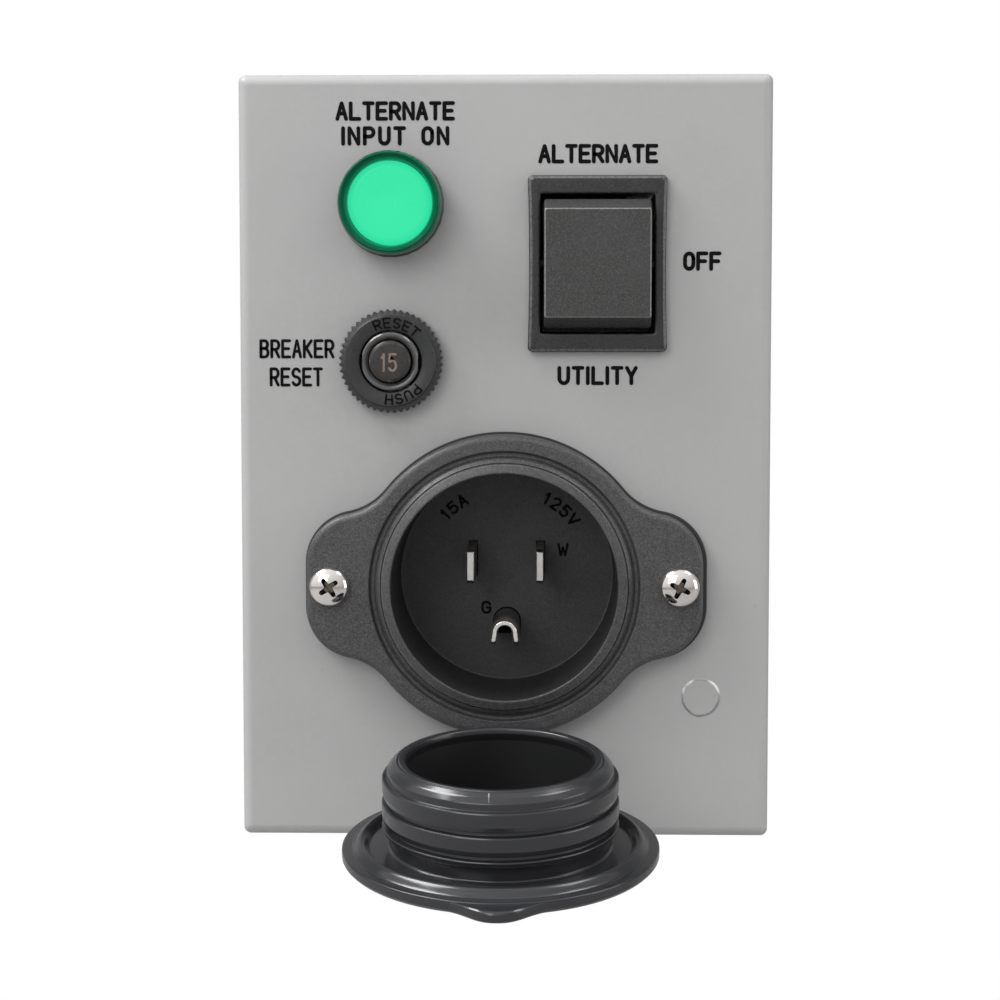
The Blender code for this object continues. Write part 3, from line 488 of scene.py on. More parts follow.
def plastic(name, colour, rough, strength, fleck, grain=3600, depth=0.03,
            edge_light=0.0, gloss=0.5, specks=0.0):
    """Moulded plastic with a spark-eroded grain.

    grain is the noise scale, strength and depth its bump, and fleck how much lighter its light
    parts are. edge_light paints a highlight on sharp outer edges, and specks adds pale dots.
    """
    look = new_look(name)
    pits = look.noise(scale=grain, detail=3, rough=0.6)
    cloud = look.noise(scale=140, detail=3)
    light = scaled(colour, 1.0 + fleck, 0.004)
    base = look.mix(look.ramp(pits, over=(0.38, 0.68)), low=scaled(colour, 0.82), high=light)
    base = look.mix(look.ramp(cloud, over=(0.4, 0.75), to=(0.0, 0.25)), low=base, high=light)
    if specks:
        patches = look.ramp(look.noise(scale=2300, detail=1), over=(0.46, 0.60))
        dots = look.dots(scale=1700, edge=(0.05, 0.32), patches=patches)
        pale = scaled(colour, 3.2, 0.05)
        base = look.mix(look.math("MULTIPLY", dots, specks), low=base, high=pale)
    # painted highlight: sharp outer edges, found by pointiness, are lightened by edge_light
    pointiness = look.add("ShaderNodeNewGeometry").outputs["Pointiness"]
    edge = look.ramp(pointiness, over=(0.515, 0.60))
    highlit_edge = scaled(colour, 3.0, 0.045)
    base = look.mix(look.math("MULTIPLY", edge, edge_light), low=base, high=highlit_edge)
    grainy = look.ramp(look.noise(scale=grain * 0.4, detail=3), to=(rough - 0.06, rough + 0.08))
    return look.surface({
        "Base Color": base,
        "Roughness": look.math("SUBTRACT", grainy, look.math("MULTIPLY", edge, 0.12)),
        "Normal": look.bump(pits, strength, depth),
        "Specular IOR Level": gloss,
    })


def rubber(name, colour, rough, strength):
    """Rubber with broad smears and a little dust; strength is that of its fine bump."""
    look = new_look(name)
    smear = look.noise(scale=60, detail=4, rough=0.6)
    fine = look.noise(scale=1500, detail=3, rough=0.55)
    patches = look.ramp(look.noise(scale=130), over=(0.62, 0.68))
    dust = look.dots(scale=330, edge=(0.0, 0.06), patches=patches)
    base = look.mix(look.ramp(smear, over=(0.35, 0.75)), low=colour, high=scaled(colour, 1.2))
    base = look.mix(look.math("MULTIPLY", dust, 0.03), low=base, high=(0.10, 0.10, 0.10))
    waves = look.bump(look.noise(scale=120), strength=0.05, depth=0.06)
    return look.surface({
        "Base Color": base,
        "Roughness": look.ramp(smear, to=(rough - 0.03, rough + 0.04)),
        "Normal": look.bump(fine, strength, depth=0.02, under=waves),
        "Specular IOR Level": 0.6,
    })


def metal(name, colour, rough, stretch=(1, 1, 1), scratch=0.08, tarnish=None):
    """stretch scales the streaks on each axis, scratch is their bump."""
    look = new_look(name)
    streak = look.noise(scale=900, detail=4, rough=0.6, stretch=stretch)
    cloud = look.ramp(look.noise(scale=160, detail=3), over=(0.35, 0.75), to=(0.0, 0.7))
    return look.surface({
        "Base Color": look.mix(cloud, low=colour, high=tarnish or scaled(colour, 0.82)),
        "Metallic": 1.0,
        "Roughness": look.ramp(streak, to=(rough, rough + 0.12)),
        "Normal": look.bump(streak, scratch, depth=0.01),
    })


def dim_inside(material, start, end, dim):
    """Painted shade: the colour falls off to dim between two depths behind the panel's face."""
    look = Shading(material)
    source = look.shader.inputs["Base Color"].links[0].from_socket
    split = look.add("ShaderNodeSeparateXYZ", {0: look.coords})
    span = ((PANEL_Y + start) * MM, (PANEL_Y + end) * MM)
    depth = look.ramp(split.outputs["Y"], over=span, to=(1.0, dim))
    darker = look.add(
        "ShaderNodeMix", {0: 1.0, 6: source, 7: depth}, data_type="RGBA", blend_type="MULTIPLY"
    )
    return look.surface({"Base Color": darker.outputs[2]})


def green_glass():
    """Tinted clear moulding, seen against the dark lamp body."""
    look = new_look("green_lens_clear")
    tint = look.ramp(look.noise(scale=90))
    return look.surface({
        "Base Color": look.mix(tint, low=(0.002, 0.095, 0.047), high=(0.003, 0.120, 0.058)),
        "Transmission Weight": 0.15,
        "Specular IOR Level": 0.16,
        "IOR": 1.28,
        "Roughness": look.ramp(look.noise(scale=300, detail=3), to=(0.03, 0.09)),
        "Coat Weight": 0.03,
        "Coat Roughness": 0.03,
        "Normal": look.bump(look.noise(scale=250), strength=0.02, depth=0.02),
    })


def lit_green():
    """The lamp's lit face, with its own slightly uneven glow."""
    look = new_look("lamp_face_lit")
    cloud = look.ramp(look.noise(scale=70))
    return look.surface({
        "Base Color": (0.01, 0.12, 0.06),
        "Roughness": look.ramp(look.noise(scale=500), to=(0.22, 0.3)),
        "Emission Color": look.mix(cloud, low=(0.026, 0.78, 0.375), high=(0.034, 0.82, 0.40)),
        "Emission Strength": 0.88,
        "Specular IOR Level": 0.25,
        "Normal": look.bump(look.noise(scale=900), strength=0.05, depth=0.02),
    })


def insulation(name, colour):
    look = new_look(name)
    cloud = look.ramp(look.noise(scale=200, detail=3))
    return look.surface({
        "Base Color": look.mix(cloud, low=colour, high=scaled(colour, 0.8)),
        "Roughness": look.ramp(look.noise(scale=700), to=(0.34, 0.5)),
        "Normal": look.bump(look.noise(scale=1500), strength=0.1, depth=0.02),
    })


PAINT = paint()
WELD_MARK_PAINTED_LIGHT = weld_mark_light_paint()
FLANGE = plastic("inlet_plastic", (0.031, 0.031, 0.032), rough=0.40, grain=4300,
                 strength=1.0, fleck=1.7, depth=0.045, specks=0.8)
FLOOR = plastic("inlet_floor_plastic", (0.038, 0.0385, 0.040), rough=0.42, grain=3000,
                strength=0.12, fleck=0.3, depth=0.02, edge_light=0.1)
# painted shade: a darker plastic for the wall down the bore
BORE_WALL_SHADE = plastic("inlet_wall_painted_shade", (0.013, 0.013, 0.0133), rough=0.40,
               strength=0.3, fleck=0.6, edge_light=0.1)
# lighter plastics laid on edge faces as painted highlight lines
EDGE_HIGHLIGHT = plastic("painted_edge_highlight", (0.125, 0.123, 0.121), rough=0.30, strength=0.5, fleck=0.8)
SOFT_EDGE_HIGHLIGHT = plastic("painted_soft_edge_highlight", (0.080, 0.079, 0.079), rough=0.28,
                    strength=0.5, fleck=0.8)
# painted shade: a dark metal for the insides of the screws' cross recesses
RECESS_SHADE = metal("recess_painted_shade_metal", (0.20, 0.17, 0.14), rough=0.16, scratch=0.1)
BLACK = plastic("black_plastic_satin", (0.020, 0.020, 0.0205), rough=0.42, grain=3800,
                strength=0.22, fleck=0.4, depth=0.025, edge_light=0.45)
ROCKER = plastic("rocker_plastic", (0.024, 0.0235, 0.023), rough=0.44,
                 strength=0.9, fleck=1.3, depth=0.045, specks=0.6)
BEZEL = plastic("bezel_plastic", (0.0145, 0.0143, 0.0143), rough=0.33, grain=3800,
                strength=0.6, fleck=1.0, specks=0.45)
NUT = plastic("nut_plastic", (0.020, 0.0205, 0.021), rough=0.38, grain=3200,
              strength=0.15, fleck=0.35, depth=0.02)
THREAD = plastic("bushing_plastic", (0.052, 0.052, 0.052), rough=0.18, grain=2500,
                 strength=0.12, fleck=0.3, depth=0.02, edge_light=0.7)
BUTTON = plastic("button_plastic", (0.022, 0.0185, 0.0165), rough=0.30, grain=2600,
                 strength=0.12, fleck=0.35, depth=0.02, edge_light=0.6)
RUBBER = rubber("black_rubber_gloss", (0.0195, 0.0200, 0.0225), rough=0.18, strength=0.02)
# painted shade: a darker rubber for the plug's hollow inside
HOLLOW_SHADE = rubber("black_rubber_painted_shade_inside", (0.0028, 0.0031, 0.0036), rough=0.55, strength=0.05)
SOFT = rubber("gasket_rubber", (0.012, 0.012, 0.012), rough=0.5, strength=0.25)
MOULD_LINE = rubber("rubber_mould_line", (0.085, 0.083, 0.080), rough=0.3, strength=0.05)
NICKEL = metal("bright_nickel", (0.84, 0.80, 0.77), rough=0.06, scratch=0.04)
BLADE = metal("blade_nickel", (0.82, 0.78, 0.74), rough=0.12, stretch=(1, 0.15, 1))
PRONG = metal("prong_nickel", (0.92, 0.89, 0.86), rough=0.26, stretch=(1, 0.15, 1))
# painted shade on the pins' shanks, deep in their slots
dim_inside(PRONG, start=0.4, end=7.0, dim=0.2)
ZINC = metal("zinc_plate", (0.63, 0.64, 0.66), rough=0.28, scratch=0.1, tarnish=(0.52, 0.54, 0.50))
PIN_SHADE_STEEL = metal("pin_steel_painted_shade", (0.05, 0.05, 0.052), rough=0.45)
COPPER = metal("copper_strip", (0.80, 0.44, 0.26), rough=0.25, stretch=(1, 1, 0.2), scratch=0.1)
GLASS = green_glass()
LIT = lit_green()
INK = plastic("legend_ink", (0.0035, 0.003, 0.003), rough=0.7, grain=1800,
              strength=0.05, fleck=0.3, depth=0.01, gloss=0.06)
TAN = plastic("tan_ink", (0.19, 0.155, 0.12), rough=0.5, grain=2500,
              strength=0.1, fleck=0.2, depth=0.01, gloss=0.3)
BOARD = plastic("printed_board", (0.02, 0.16, 0.06), rough=0.4, grain=900,
                strength=0.1, fleck=0.5, depth=0.02, edge_light=0.45)
# the moulding behind the inlet's floor is darker than the rest
REAR_BODY = plastic("rear_body_plastic", (0.0045, 0.0045, 0.0047), rough=0.55, grain=3000,
                    strength=0.3, fleck=0.5, depth=0.02, gloss=0.25)
SLOTS = {
    "grey_paint": PAINT, "zinc_steel": ZINC, "nickel": BLADE, "copper": COPPER,
    "black_plastic": BLACK, "black_rubber": SOFT, "green_lens": GLASS, "circuit_board": BOARD,
    "black_wire": insulation("black_insulation", (0.02, 0.02, 0.021)),
    "white_wire": insulation("white_insulation", (0.78, 0.78, 0.76)),
    "green_wire": insulation("green_insulation", (0.02, 0.28, 0.07)),
}
for part in frame["record"]["subparts"]:
    materials = NODES[part["node"]].data.materials
    materials.clear()
    materials.append(SLOTS[part["material_slot"]])
# painted shade: the pivot pins, seen only through dark gaps, get a near-black steel
for name, node in NODES.items():
    if "pivot" in name or (name.endswith("_pin") and "ground" not in name):
        node.data.materials[0] = PIN_SHADE_STEEL
NODES["inlet_rear_body"].data.materials[0] = REAR_BODY

# ------------------------------------------------------------------ lettering
# A rounded single-stroke alphabet on a unit cell: 1 wide, HIGH high. Each glyph is a list of
# paths of (x, z) points.

HIGH = 1.6
LOWER_BOWL = arc(0.5, 0.5, 0.5, 0.5, 180, 360)
P_PATH = [(0, 0), (0, HIGH), (0.55, HIGH)] + arc(0.55, 1.17, 0.45, 0.43, 90, -90) + [(0, 0.74)]
GLYPHS = {
    "A": [[(0, 0), (0.5, HIGH), (1, 0)], [(0.19, 0.55), (0.81, 0.55)]],
    "B": [
        [(0, 0), (0, HIGH), (0.55, HIGH)] + arc(0.55, 1.22, 0.38, 0.38, 90, -90) + [(0, 0.84)],
        [(0.5, 0.84)] + arc(0.55, 0.42, 0.45, 0.42, 90, -90) + [(0, 0)],
    ],
    "E": [[(1, HIGH), (0, HIGH), (0, 0), (1, 0)], [(0, 0.82), (0.85, 0.82)]],
    "F": [[(1, HIGH), (0, HIGH), (0, 0)], [(0, 0.8), (0.85, 0.8)]],
    "G": [arc(0.5, HIGH - 0.5, 0.5, 0.5, 20, 180) + LOWER_BOWL + [(1.0, 0.78), (0.58, 0.78)]],
    "H": [[(0, 0), (0, HIGH)], [(1, 0), (1, HIGH)], [(0, 0.82), (1, 0.82)]],
    "I": [[(0.5, 0), (0.5, HIGH)]],
    "K": [[(0, 0), (0, HIGH)], [(1, HIGH), (0, 0.62)], [(0.32, 0.88), (1, 0)]],
    "L": [[(0, HIGH), (0, 0), (1, 0)]],
    "N": [[(0, 0), (0, HIGH), (1, 0), (1, HIGH)]],
    "O": [arc(0.5, HIGH - 0.5, 0.5, 0.5, 0, 180) + LOWER_BOWL + [(1.0, HIGH - 0.5)]],
    "P": [P_PATH],
    "R": [P_PATH, [(0.5, 0.74), (1, 0)]],
    "S": [
        arc(0.5, HIGH - 0.42, 0.48, 0.42, 25, 180)
        + arc(0.5, HIGH - 0.42, 0.48, 0.38, 180, 270, 4)
        + arc(0.5, 0.42, 0.5, 0.38, 90, 0, 4)
        + arc(0.5, 0.42, 0.5, 0.42, 0, -155)
    ],
    "T": [[(0, HIGH), (1, HIGH)], [(0.5, HIGH), (0.5, 0)]],
    "U": [[(0, HIGH), (0, 0.5)] + LOWER_BOWL + [(1, HIGH)]],
    "V": [[(0, HIGH), (0.5, 0), (1, HIGH)]],
    "W": [[(0, HIGH), (0.25, 0), (0.5, 1.1), (0.75, 0), (1, HIGH)]],
    "Y": [[(0, HIGH), (0.5, 0.75), (1, HIGH)], [(0.5, 0.75), (0.5, 0)]],
    "1": [[(0.15, 1.25), (0.55, HIGH), (0.55, 0)]],
    "2": [arc(0.5, HIGH - 0.45, 0.45, 0.45, 160, 0) + [(0.95, 1.05), (0.05, 0), (1, 0)]],
    "5": [
        [(0.92, HIGH), (0.14, HIGH), (0.08, 0.92)] + arc(0.47, 0.5, 0.5, 0.5, 130, -150, 12)
    ],
}


def stroke_outline(path, half):
    """The outline of a polyline with round joints and ends, as one closed ring of points."""
    points = []
    for p in map(Vector, path):
        if not points or (p - points[-1]).length > 1e-4:
            points.append(p)
    left, right = [], []
    for i, p in enumerate(points):
        before = (p - points[i - 1] if i else points[1] - p).normalized()
        after = (points[i + 1] - p).normalized() if i < len(points) - 1 else before
        normal = Vector((-before.y, before.x))
        mid = (normal + Vector((-after.y, after.x))).normalized()
        inner = mid * (half / max(0.35, mid.dot(normal)))
        turn = atan2(before.x * after.y - before.y * after.x, before.dot(after))
        if abs(turn) < 0.35:
            left.append(p + inner)
            right.append(p - inner)
            continue
        base = atan2(normal.y, normal.x)
        angles = [base + turn * step / 4 for step in range(5)]
        rim = [Vector((cos(angle), sin(angle))) * half for angle in angles]
        if turn > 0:
            left.append(p + inner)
            right += [p - r for r in rim]
        else:
            left += [p + r for r in rim]
            right.append(p - inner)
    start = (points[1] - points[0]).normalized()
    finish = (points[-1] - points[-2]).normalized()
    ring = left
    for tip, heading, side in ((points[-1], finish, right[::-1]), (points[0], -start, [])):
        base = atan2(heading.x, -heading.y)
        for step in range(1, 6):
            angle = base - pi * step / 6
            ring.append(tip + Vector((cos(angle), sin(angle))) * half)
        ring += side
    return ring


def lettering(name, lines, at, cap_height, stroke, material, depth=0.05, sink=0.02, ring=None):
    """Raised or printed letters, centred, standing depth out of the face and sink into it.

    Each line is (text, x, z, wide, gap): wide is a letter's full width.
    ring = (radius, degrees): the letters follow a circle round at, in place of x and z.
    """
    tall = (cap_height - stroke) / HIGH
    verts, faces = [], []
    for text, line_x, line_z, wide, gap in lines:
        widths = {"I": stroke, "1": wide * 0.62, " ": wide * 0.8}
        advance = [widths.get(letter, wide) for letter in text]
        cursor = -(sum(advance) + gap * (len(text) - 1)) / 2
        for letter, width in zip(text, advance):
            letter_x = cursor + width / 2
            cursor += width + gap
            if letter == " ":
                continue
            across = (wide - stroke) * (0.62 if letter == "1" else 1.0)
            shapes = []
            for path in GLYPHS[letter]:
                placed = [
                    ((x - 0.5) * across, z * tall - (cap_height - stroke) / 2) for x, z in path
                ]
                flat = []
                for p in stroke_outline(placed, stroke / 2):
                    if ring:
                        radius, degrees = ring
                        reach = radius + p.y
                        angle = radians(degrees) - letter_x / radius - p.x / radius
                        flat.append((reach * cos(angle), reach * sin(angle)))
                    else:
                        flat.append((letter_x + line_x + p.x, line_z + p.y))
                shapes.append(loft([[(x, y, z) for x, z in flat] for y in (sink, -depth)]))
            glyph = mesh_object("glyph", shapes[0], origin=at)
            if len(shapes) > 1:
                combine(glyph, shapes[1:], at, "UNION")
            first = len(verts)
            verts += [tuple(v.co) for v in glyph.data.vertices]
            faces += [tuple(first + i for i in p.vertices) for p in glyph.data.polygons]
            bpy.data.objects.remove(glyph, do_unlink=True)
    obj = new_object(name, verts, faces, material)
    tidy(obj, 40)
    return obj


# ------------------------------------------------------------------ enclosure
BEND = 1.95  # radius of the fold between the panel and the sides
CORNER = 1.3  # radius of the long corners


def enclosure():
    loops = [
        rounded(HALF_W - SHEET, HALF_H - SHEET, 0.6, y, steps=6) for y in (PANEL_Y + SHEET, REAR_Y)
    ]
    loops.append(rounded(HALF_W, HALF_H, CORNER, REAR_Y, steps=6))
    for i in range(11):
        angle = pi / 2 * i / 10
        inset = BEND * (1 - cos(angle))
        radius = max(CORNER - inset * 0.5, 0.35)
        y = PANEL_Y + BEND * (1 - sin(angle))
        loops.append(rounded(HALF_W - inset, HALF_H - inset, radius, y, steps=6))
    shell = mesh_object("enclosure_painted_shell", loft(loops), PAINT)

    through = (PANEL_Y - 2, PANEL_Y + SHEET + 2)
    cuts = [
        rod(8.1, *through, LAMP.x, LAMP.z),
        rod(5.45, *through, BREAKER.x, BREAKER.z),
        rod(24.0, *through, INLET.x, INLET.z, 96),
        box((SWITCH.x - 11.2, SWITCH.x + 11.2), through, (SWITCH.z - 14.2, SWITCH.z + 14.2)),
    ]
    for side in (-1, 1):
        cuts.append(rod(2.3, *through, FLANGE_SCREW_X * side, INLET.z, 32))
        for end in (-1, 1):
            hole = rod(1.9, -HALF_W - 2, -HALF_W + 4, segments=32)
            cuts.append(turned(hole, COVER_SCREW_Y, COVER_SCREW_Z * end, side))
            # the folded corner's seam, down each side
            seam_x = (side * (HALF_W - 0.45), side * (HALF_W + 1))
            seam_z = (end * (HALF_H - 1.62), end * (HALF_H - 1.40))
            cuts.append(box(seam_x, (PANEL_Y + 2.3, REAR_Y + 1), seam_z))
    # two ring grooves in the underside
    below, groove_top = -HALF_H - 1, -HALF_H + 0.6
    groove = [(10.85, below), (11.3, below), (11.3, groove_top), (10.85, groove_top)]
    verts, faces = lathe(groove, 64, closed=True)
    for x in (-22.0, 22.0):
        cuts.append(([(x + v[0], -36 + v[2], v[1]) for v in verts], faces))
    combine(shell, cuts)
    tidy(shell, 28)
    finish_piece(shell, "box", "grey_paint", "enclosure_shell")


def stud_weld_mark():
    """The earthing stud's weld shows through the panel as a faint uneven ring."""
    section = ((3.05, 0.05), (3.15, -0.05), (3.32, -0.13), (3.49, -0.05), (3.60, 0.05))  # radius, y
    loops = []
    for radius, y in section:
        loop = []
        for i in range(96):
            angle = 2 * pi * i / 96
            reach = radius + (0.06 * sin(3 * angle + 0.7) + 0.035 * sin(7 * angle + 2.0))
            height = 0.75 + 0.25 * sin(2 * angle + 1.1)
            loop.append((reach * cos(angle), y if y > 0 else y * height, reach * sin(angle)))
        loops.append(loop)
    # the mark's paint carries a painted highlight above and painted shade below
    mark = mesh_object("stud_weld_mark", loft(loops, closed=True), WELD_MARK_PAINTED_LIGHT, STUD, smooth=60)
    finish_piece(mark, "box", "grey_paint")


# name, x, z, stroke, lines as lettering() takes them
LEGENDS = (
    ("legend_lamp", -19.66, 62.40, 0.70,
     [("ALTERNATE", 0.0, 0.0, 2.26, 0.14), ("INPUT ON", 0.0, -4.42, 2.3, 0.44)]),
    ("legend_breaker", -37.55, 19.9, 0.54,
     [("BREAKER", 0.0, 0.0, 1.82, 0.14), ("RESET", -0.15, -5.07, 1.82, 0.14)]),
    ("legend_switch_top", 16.7, 54.75, 0.70, [("ALTERNATE", 0.0, 0.0, 2.26, 0.14)]),
    ("legend_switch_off", 35.4, 35.6, 0.70, [("OFF", 0.0, 0.0, 2.2, 0.14)]),
    ("legend_switch_bottom", 16.7, 15.1, 0.70, [("UTILITY", 0.0, 0.0, 2.3, 0.26)]),
)


def legends():
    """Words printed on the panel."""
    for name, x, z, stroke, lines in LEGENDS:
        at = Vector((x, PANEL_Y, z))
        obj = lettering(name, lines, at, cap_height=3.46, stroke=stroke, material=INK)
        finish_piece(obj, "box", "grey_paint")


# ------------------------------------------------------------------ Phillips screws


def cross_outline(arm, half, y, angle):
    """A cross with tapered arm ends; arm is its reach, half an arm's half width."""
    quarter = (
        (half * 1.25, -half), (arm * 0.86, -half * 0.92), (arm, -half * 0.45),
        (arm, half * 0.45), (arm * 0.86, half * 0.92),
    )
    points = []
    for k in range(4):
        c, s = cos(angle + pi / 2 * k), sin(angle + pi / 2 * k)
        points += [(c * along - s * across, y, s * along + c * across) for along, across in quarter]
    return points


def screw(name, material, angle, seat, radius, height, shank, tip, placing=None, origin=ZERO):
    """A pan head screw with a cross recess. seat is the underside's y; the head stands towards -Y.
    placing moves the finished shapes."""
    top = seat - height
    rise = height - 0.35

    def dome(angle):
        return top + rise * (1 - cos(angle) ** 0.8)

    angles = [pi / 2 * i / 16 for i in range(17)]
    profile = [(radius * sin(a) ** 0.92, dome(a)) for a in angles]
    profile += [(radius, seat - 0.06), (radius - 0.08, seat), (shank, seat)]
    profile += thread(seat, tip - 1.4, 0.7, ((shank, 0.15), (shank - 0.28, 0.4), (shank, 0.65)))
    profile += [(shank - 0.3, tip - 0.5), (shank - 0.7, tip), (0, tip)]
    recess = loft([
        cross_outline(radius * 0.60, 0.50, top - 0.5, angle),
        cross_outline(radius * 0.57, 0.44, top + 0.12, angle),
        cross_outline(radius * 0.30, 0.28, top + 1.45, angle),
    ])
    pit_stations = ((0.92, top - 0.5), (0.74, top + 0.3), (0.35, top + 1.7))
    pit = loft([circle(pit_radius, y, 20, phase=0.2) for pit_radius, y in pit_stations])
    shapes = [lathe(profile, 64), recess, pit]
    if placing:
        shapes = [placing(shape) for shape in shapes]
    obj = mesh_object(name, shapes[0], material, origin)
    combine(obj, shapes[1:], origin)

    def sunk(c):
        reach = hypot(c.x, c.z)
        if reach > radius * 0.62 or c.y > seat - 0.2:
            return False
        return c.y > dome(asin(min(1.0, (reach / radius) ** (1 / 0.92)))) + 0.07

    # only the screws on the panel have a darker recess, painted shade
    if not placing:
        mark_faces(obj, origin, ((RECESS_SHADE, sunk),))
    tidy(obj, 24)
    return obj


def cover_screws():
    for name, side, end, angle in (
        ("cover_screw_left_top", -1, 1, 0.3), ("cover_screw_left_bottom", -1, -1, 1.0),
        ("cover_screw_right_top", 1, 1, 0.7), ("cover_screw_right_bottom", 1, -1, 0.1),
    ):
        obj = screw(
            name + "_turned", ZINC, angle, seat=-HALF_W - 0.12, radius=3.05, height=1.85,
            shank=1.5, tip=-HALF_W + 8.4,
            placing=lambda shape: turned(shape, COVER_SCREW_Y, COVER_SCREW_Z * end, side),
        )
        finish_piece(obj, "box", "zinc_steel", name)


def flange_screws():
    for name, side, angle in (("flange_screw_left", -1, 0.62), ("flange_screw_right", 1, 1.12)):
        obj = screw(
            name + "_polished", NICKEL, angle, seat=TOP_Y - 0.02, radius=3.6, height=2.5,
            shank=1.75, tip=9.8, origin=INLET + Vector((FLANGE_SCREW_X * side, 0, 0)),
        )
        finish_piece(obj, "box", "nickel", name)


# ------------------------------------------------------------------ inlet
# The flange's outline: a round body with two ears at each side, joined by hollow fillets.
EAR_R, EAR_X, EAR_Z, EAR_FILLET, BODY_R = 9.2, 26.5, 3.9, 12.0, 27.3
FLOOR_Y = 18.5  # the bottom of the bore
RIM_Y = -6.5  # the front of the rim
TOP_Y = -4.75  # the flange's front face
EDGE_ROUND = 1.1
BLADE_X, BLADE_Z = 6.35, 3.0
GROUND_Z = -8.9


def flange_outline(inset):
    """(x, z) points of the flange's outline, the same number at any inset."""
    ear, hollow, body = EAR_R - inset, EAR_FILLET + inset, BODY_R - inset
    ear_far = hypot(EAR_X, EAR_Z)
    from_body, from_ear = body + hollow, ear + hollow
    body_turn = atan2(EAR_Z, EAR_X) + acos(
        (from_body * from_body + ear_far * ear_far - from_ear * from_ear)
        / (2 * from_body * ear_far)
    )
    hollow_x, hollow_z = from_body * cos(body_turn), from_body * sin(body_turn)
    ear_turn = atan2(hollow_z - EAR_Z, hollow_x - EAR_X)
    quarter = [(EAR_X + ear, EAR_Z * t) for t in (0.0, 0.5)]
    quarter += swing(EAR_X, EAR_Z, ear, 0.0, ear_turn, 18)
    quarter += swing(hollow_x, hollow_z, hollow, ear_turn + pi, body_turn - ear_turn, 14)[1:]
    quarter += swing(0.0, 0.0, body, body_turn, pi / 2 - body_turn, 18)[1:]
    half = quarter + [(-x, z) for x, z in reversed(quarter[:-1])]
    return half + [(x, -z) for x, z in reversed(half[1:-1])]


OUTLINE_ANGLES = [atan2(z, x) for x, z in flange_outline(0.0)]


def flange_ring(radius, y):
    """A circle whose points stand at the outline's angles."""
    return [(radius * cos(angle), y, radius * sin(angle)) for angle in OUTLINE_ANGLES]


def flange_edge(inset, y):
    return [(x, y, z) for x, z in flange_outline(inset)]


# radius, y, rounding: from the flange's face over the rim and down the bore
RIM_PROFILE = (
    (25.2, TOP_Y, 0), (24.4, TOP_Y, 0.25), (24.08, -3.8, 0.3), (23.5, -3.8, 0.3),
    (22.95, -4.6, 0.6), (22.34, -5.2, 0.08), (22.2, -5.0, 0.06), (22.08, -5.8, 0.06),
    (21.9, -6.08, 0.06), (20.8, -6.48, 0.8), (20.5, RIM_Y, 0.15), (20.36, RIM_Y + 0.3, 0.3),
    (20.12, FLOOR_Y, 0.25), (19.4, FLOOR_Y, 0),
)


def inlet_flange():
    loops = [flange_ring(12.0, FLOOR_Y)]
    loops += [flange_ring(radius, y) for radius, y in reversed(fillet(RIM_PROFILE, 4))]
    # halfway over the face, so its faces stay even
    pairs = zip(flange_ring(25.2, TOP_Y), flange_edge(EDGE_ROUND, TOP_Y))
    loops.append([((a[0] + b[0]) / 2, TOP_Y, (a[2] + b[2]) / 2) for a, b in pairs])
    for i in range(9):
        angle = pi / 2 * i / 8
        inset = EDGE_ROUND * (1 - sin(angle))
        loops.append(flange_edge(inset, TOP_Y + EDGE_ROUND * (1 - cos(angle))))
    loops += [flange_edge(inset, y) for inset, y in ((0.0, -2.4), (0.0, -1.25), (0.15, -1.1))]
    # the outside of the cup behind the panel
    cup = ((23.2, -1.1), (22.8, -0.9), (22.4, FLOOR_Y + 2.6), (22.0, FLOOR_Y + 3.0))  # radius, y
    loops += [flange_ring(radius, y) for radius, y in cup]
    flange = mesh_object("inlet_flange_moulded", loft(loops), FLANGE, INLET)

    cuts = [box((-7.2, 7.2), (-2.6, 0.5), (-29.5, -24.0))]
    for side in (-1, 1):
        cuts.append(rod(2.2, -8, 3, FLANGE_SCREW_X * side, 0, 40))
        x = BLADE_X * side
        cuts.append(box((x - 0.88, x + 0.88), (15, 25), (BLADE_Z - 3.32, BLADE_Z + 3.32)))
    slot_foot = [(-2.65, 0, 0), (-2.65, -2.4, 0.5), (2.65, -2.4, 0.5), (2.65, 0, 0)]
    ground_slot = arc(0, 0, 2.65, 2.65, 0, 180, 24) + fillet(slot_foot, 5)[1:-1]
    cuts.append(loft([[(x, y, z + GROUND_Z) for x, z in ground_slot] for y in (15, 25)]))
    combine(flange, cuts, INLET)

    # the floor and the bore are smoother than the rest; the bore wall is darker, painted shade, and the sharp rim
    # carries a painted highlight line
    def reach(c):
        return hypot(c.x, c.z)

    mark_faces(flange, INLET, (
        (FLOOR, lambda c: FLOOR_Y - 1.5 < c.y < FLOOR_Y + 0.4 and reach(c) < 20.1),
        # painted shade on the bore's wall
        (BORE_WALL_SHADE, lambda c: RIM_Y + 0.9 < c.y < FLOOR_Y + 2.4 and reach(c) < 21.0),
        # painted highlight line on the rim's sharp edge
        (SOFT_EDGE_HIGHLIGHT, lambda c: 21.86 < reach(c) < 22.14 and c.y < -5.72),
    ))
    tidy(flange, 26)
    finish_piece(flange, "box", "black_plastic", "inlet_flange")


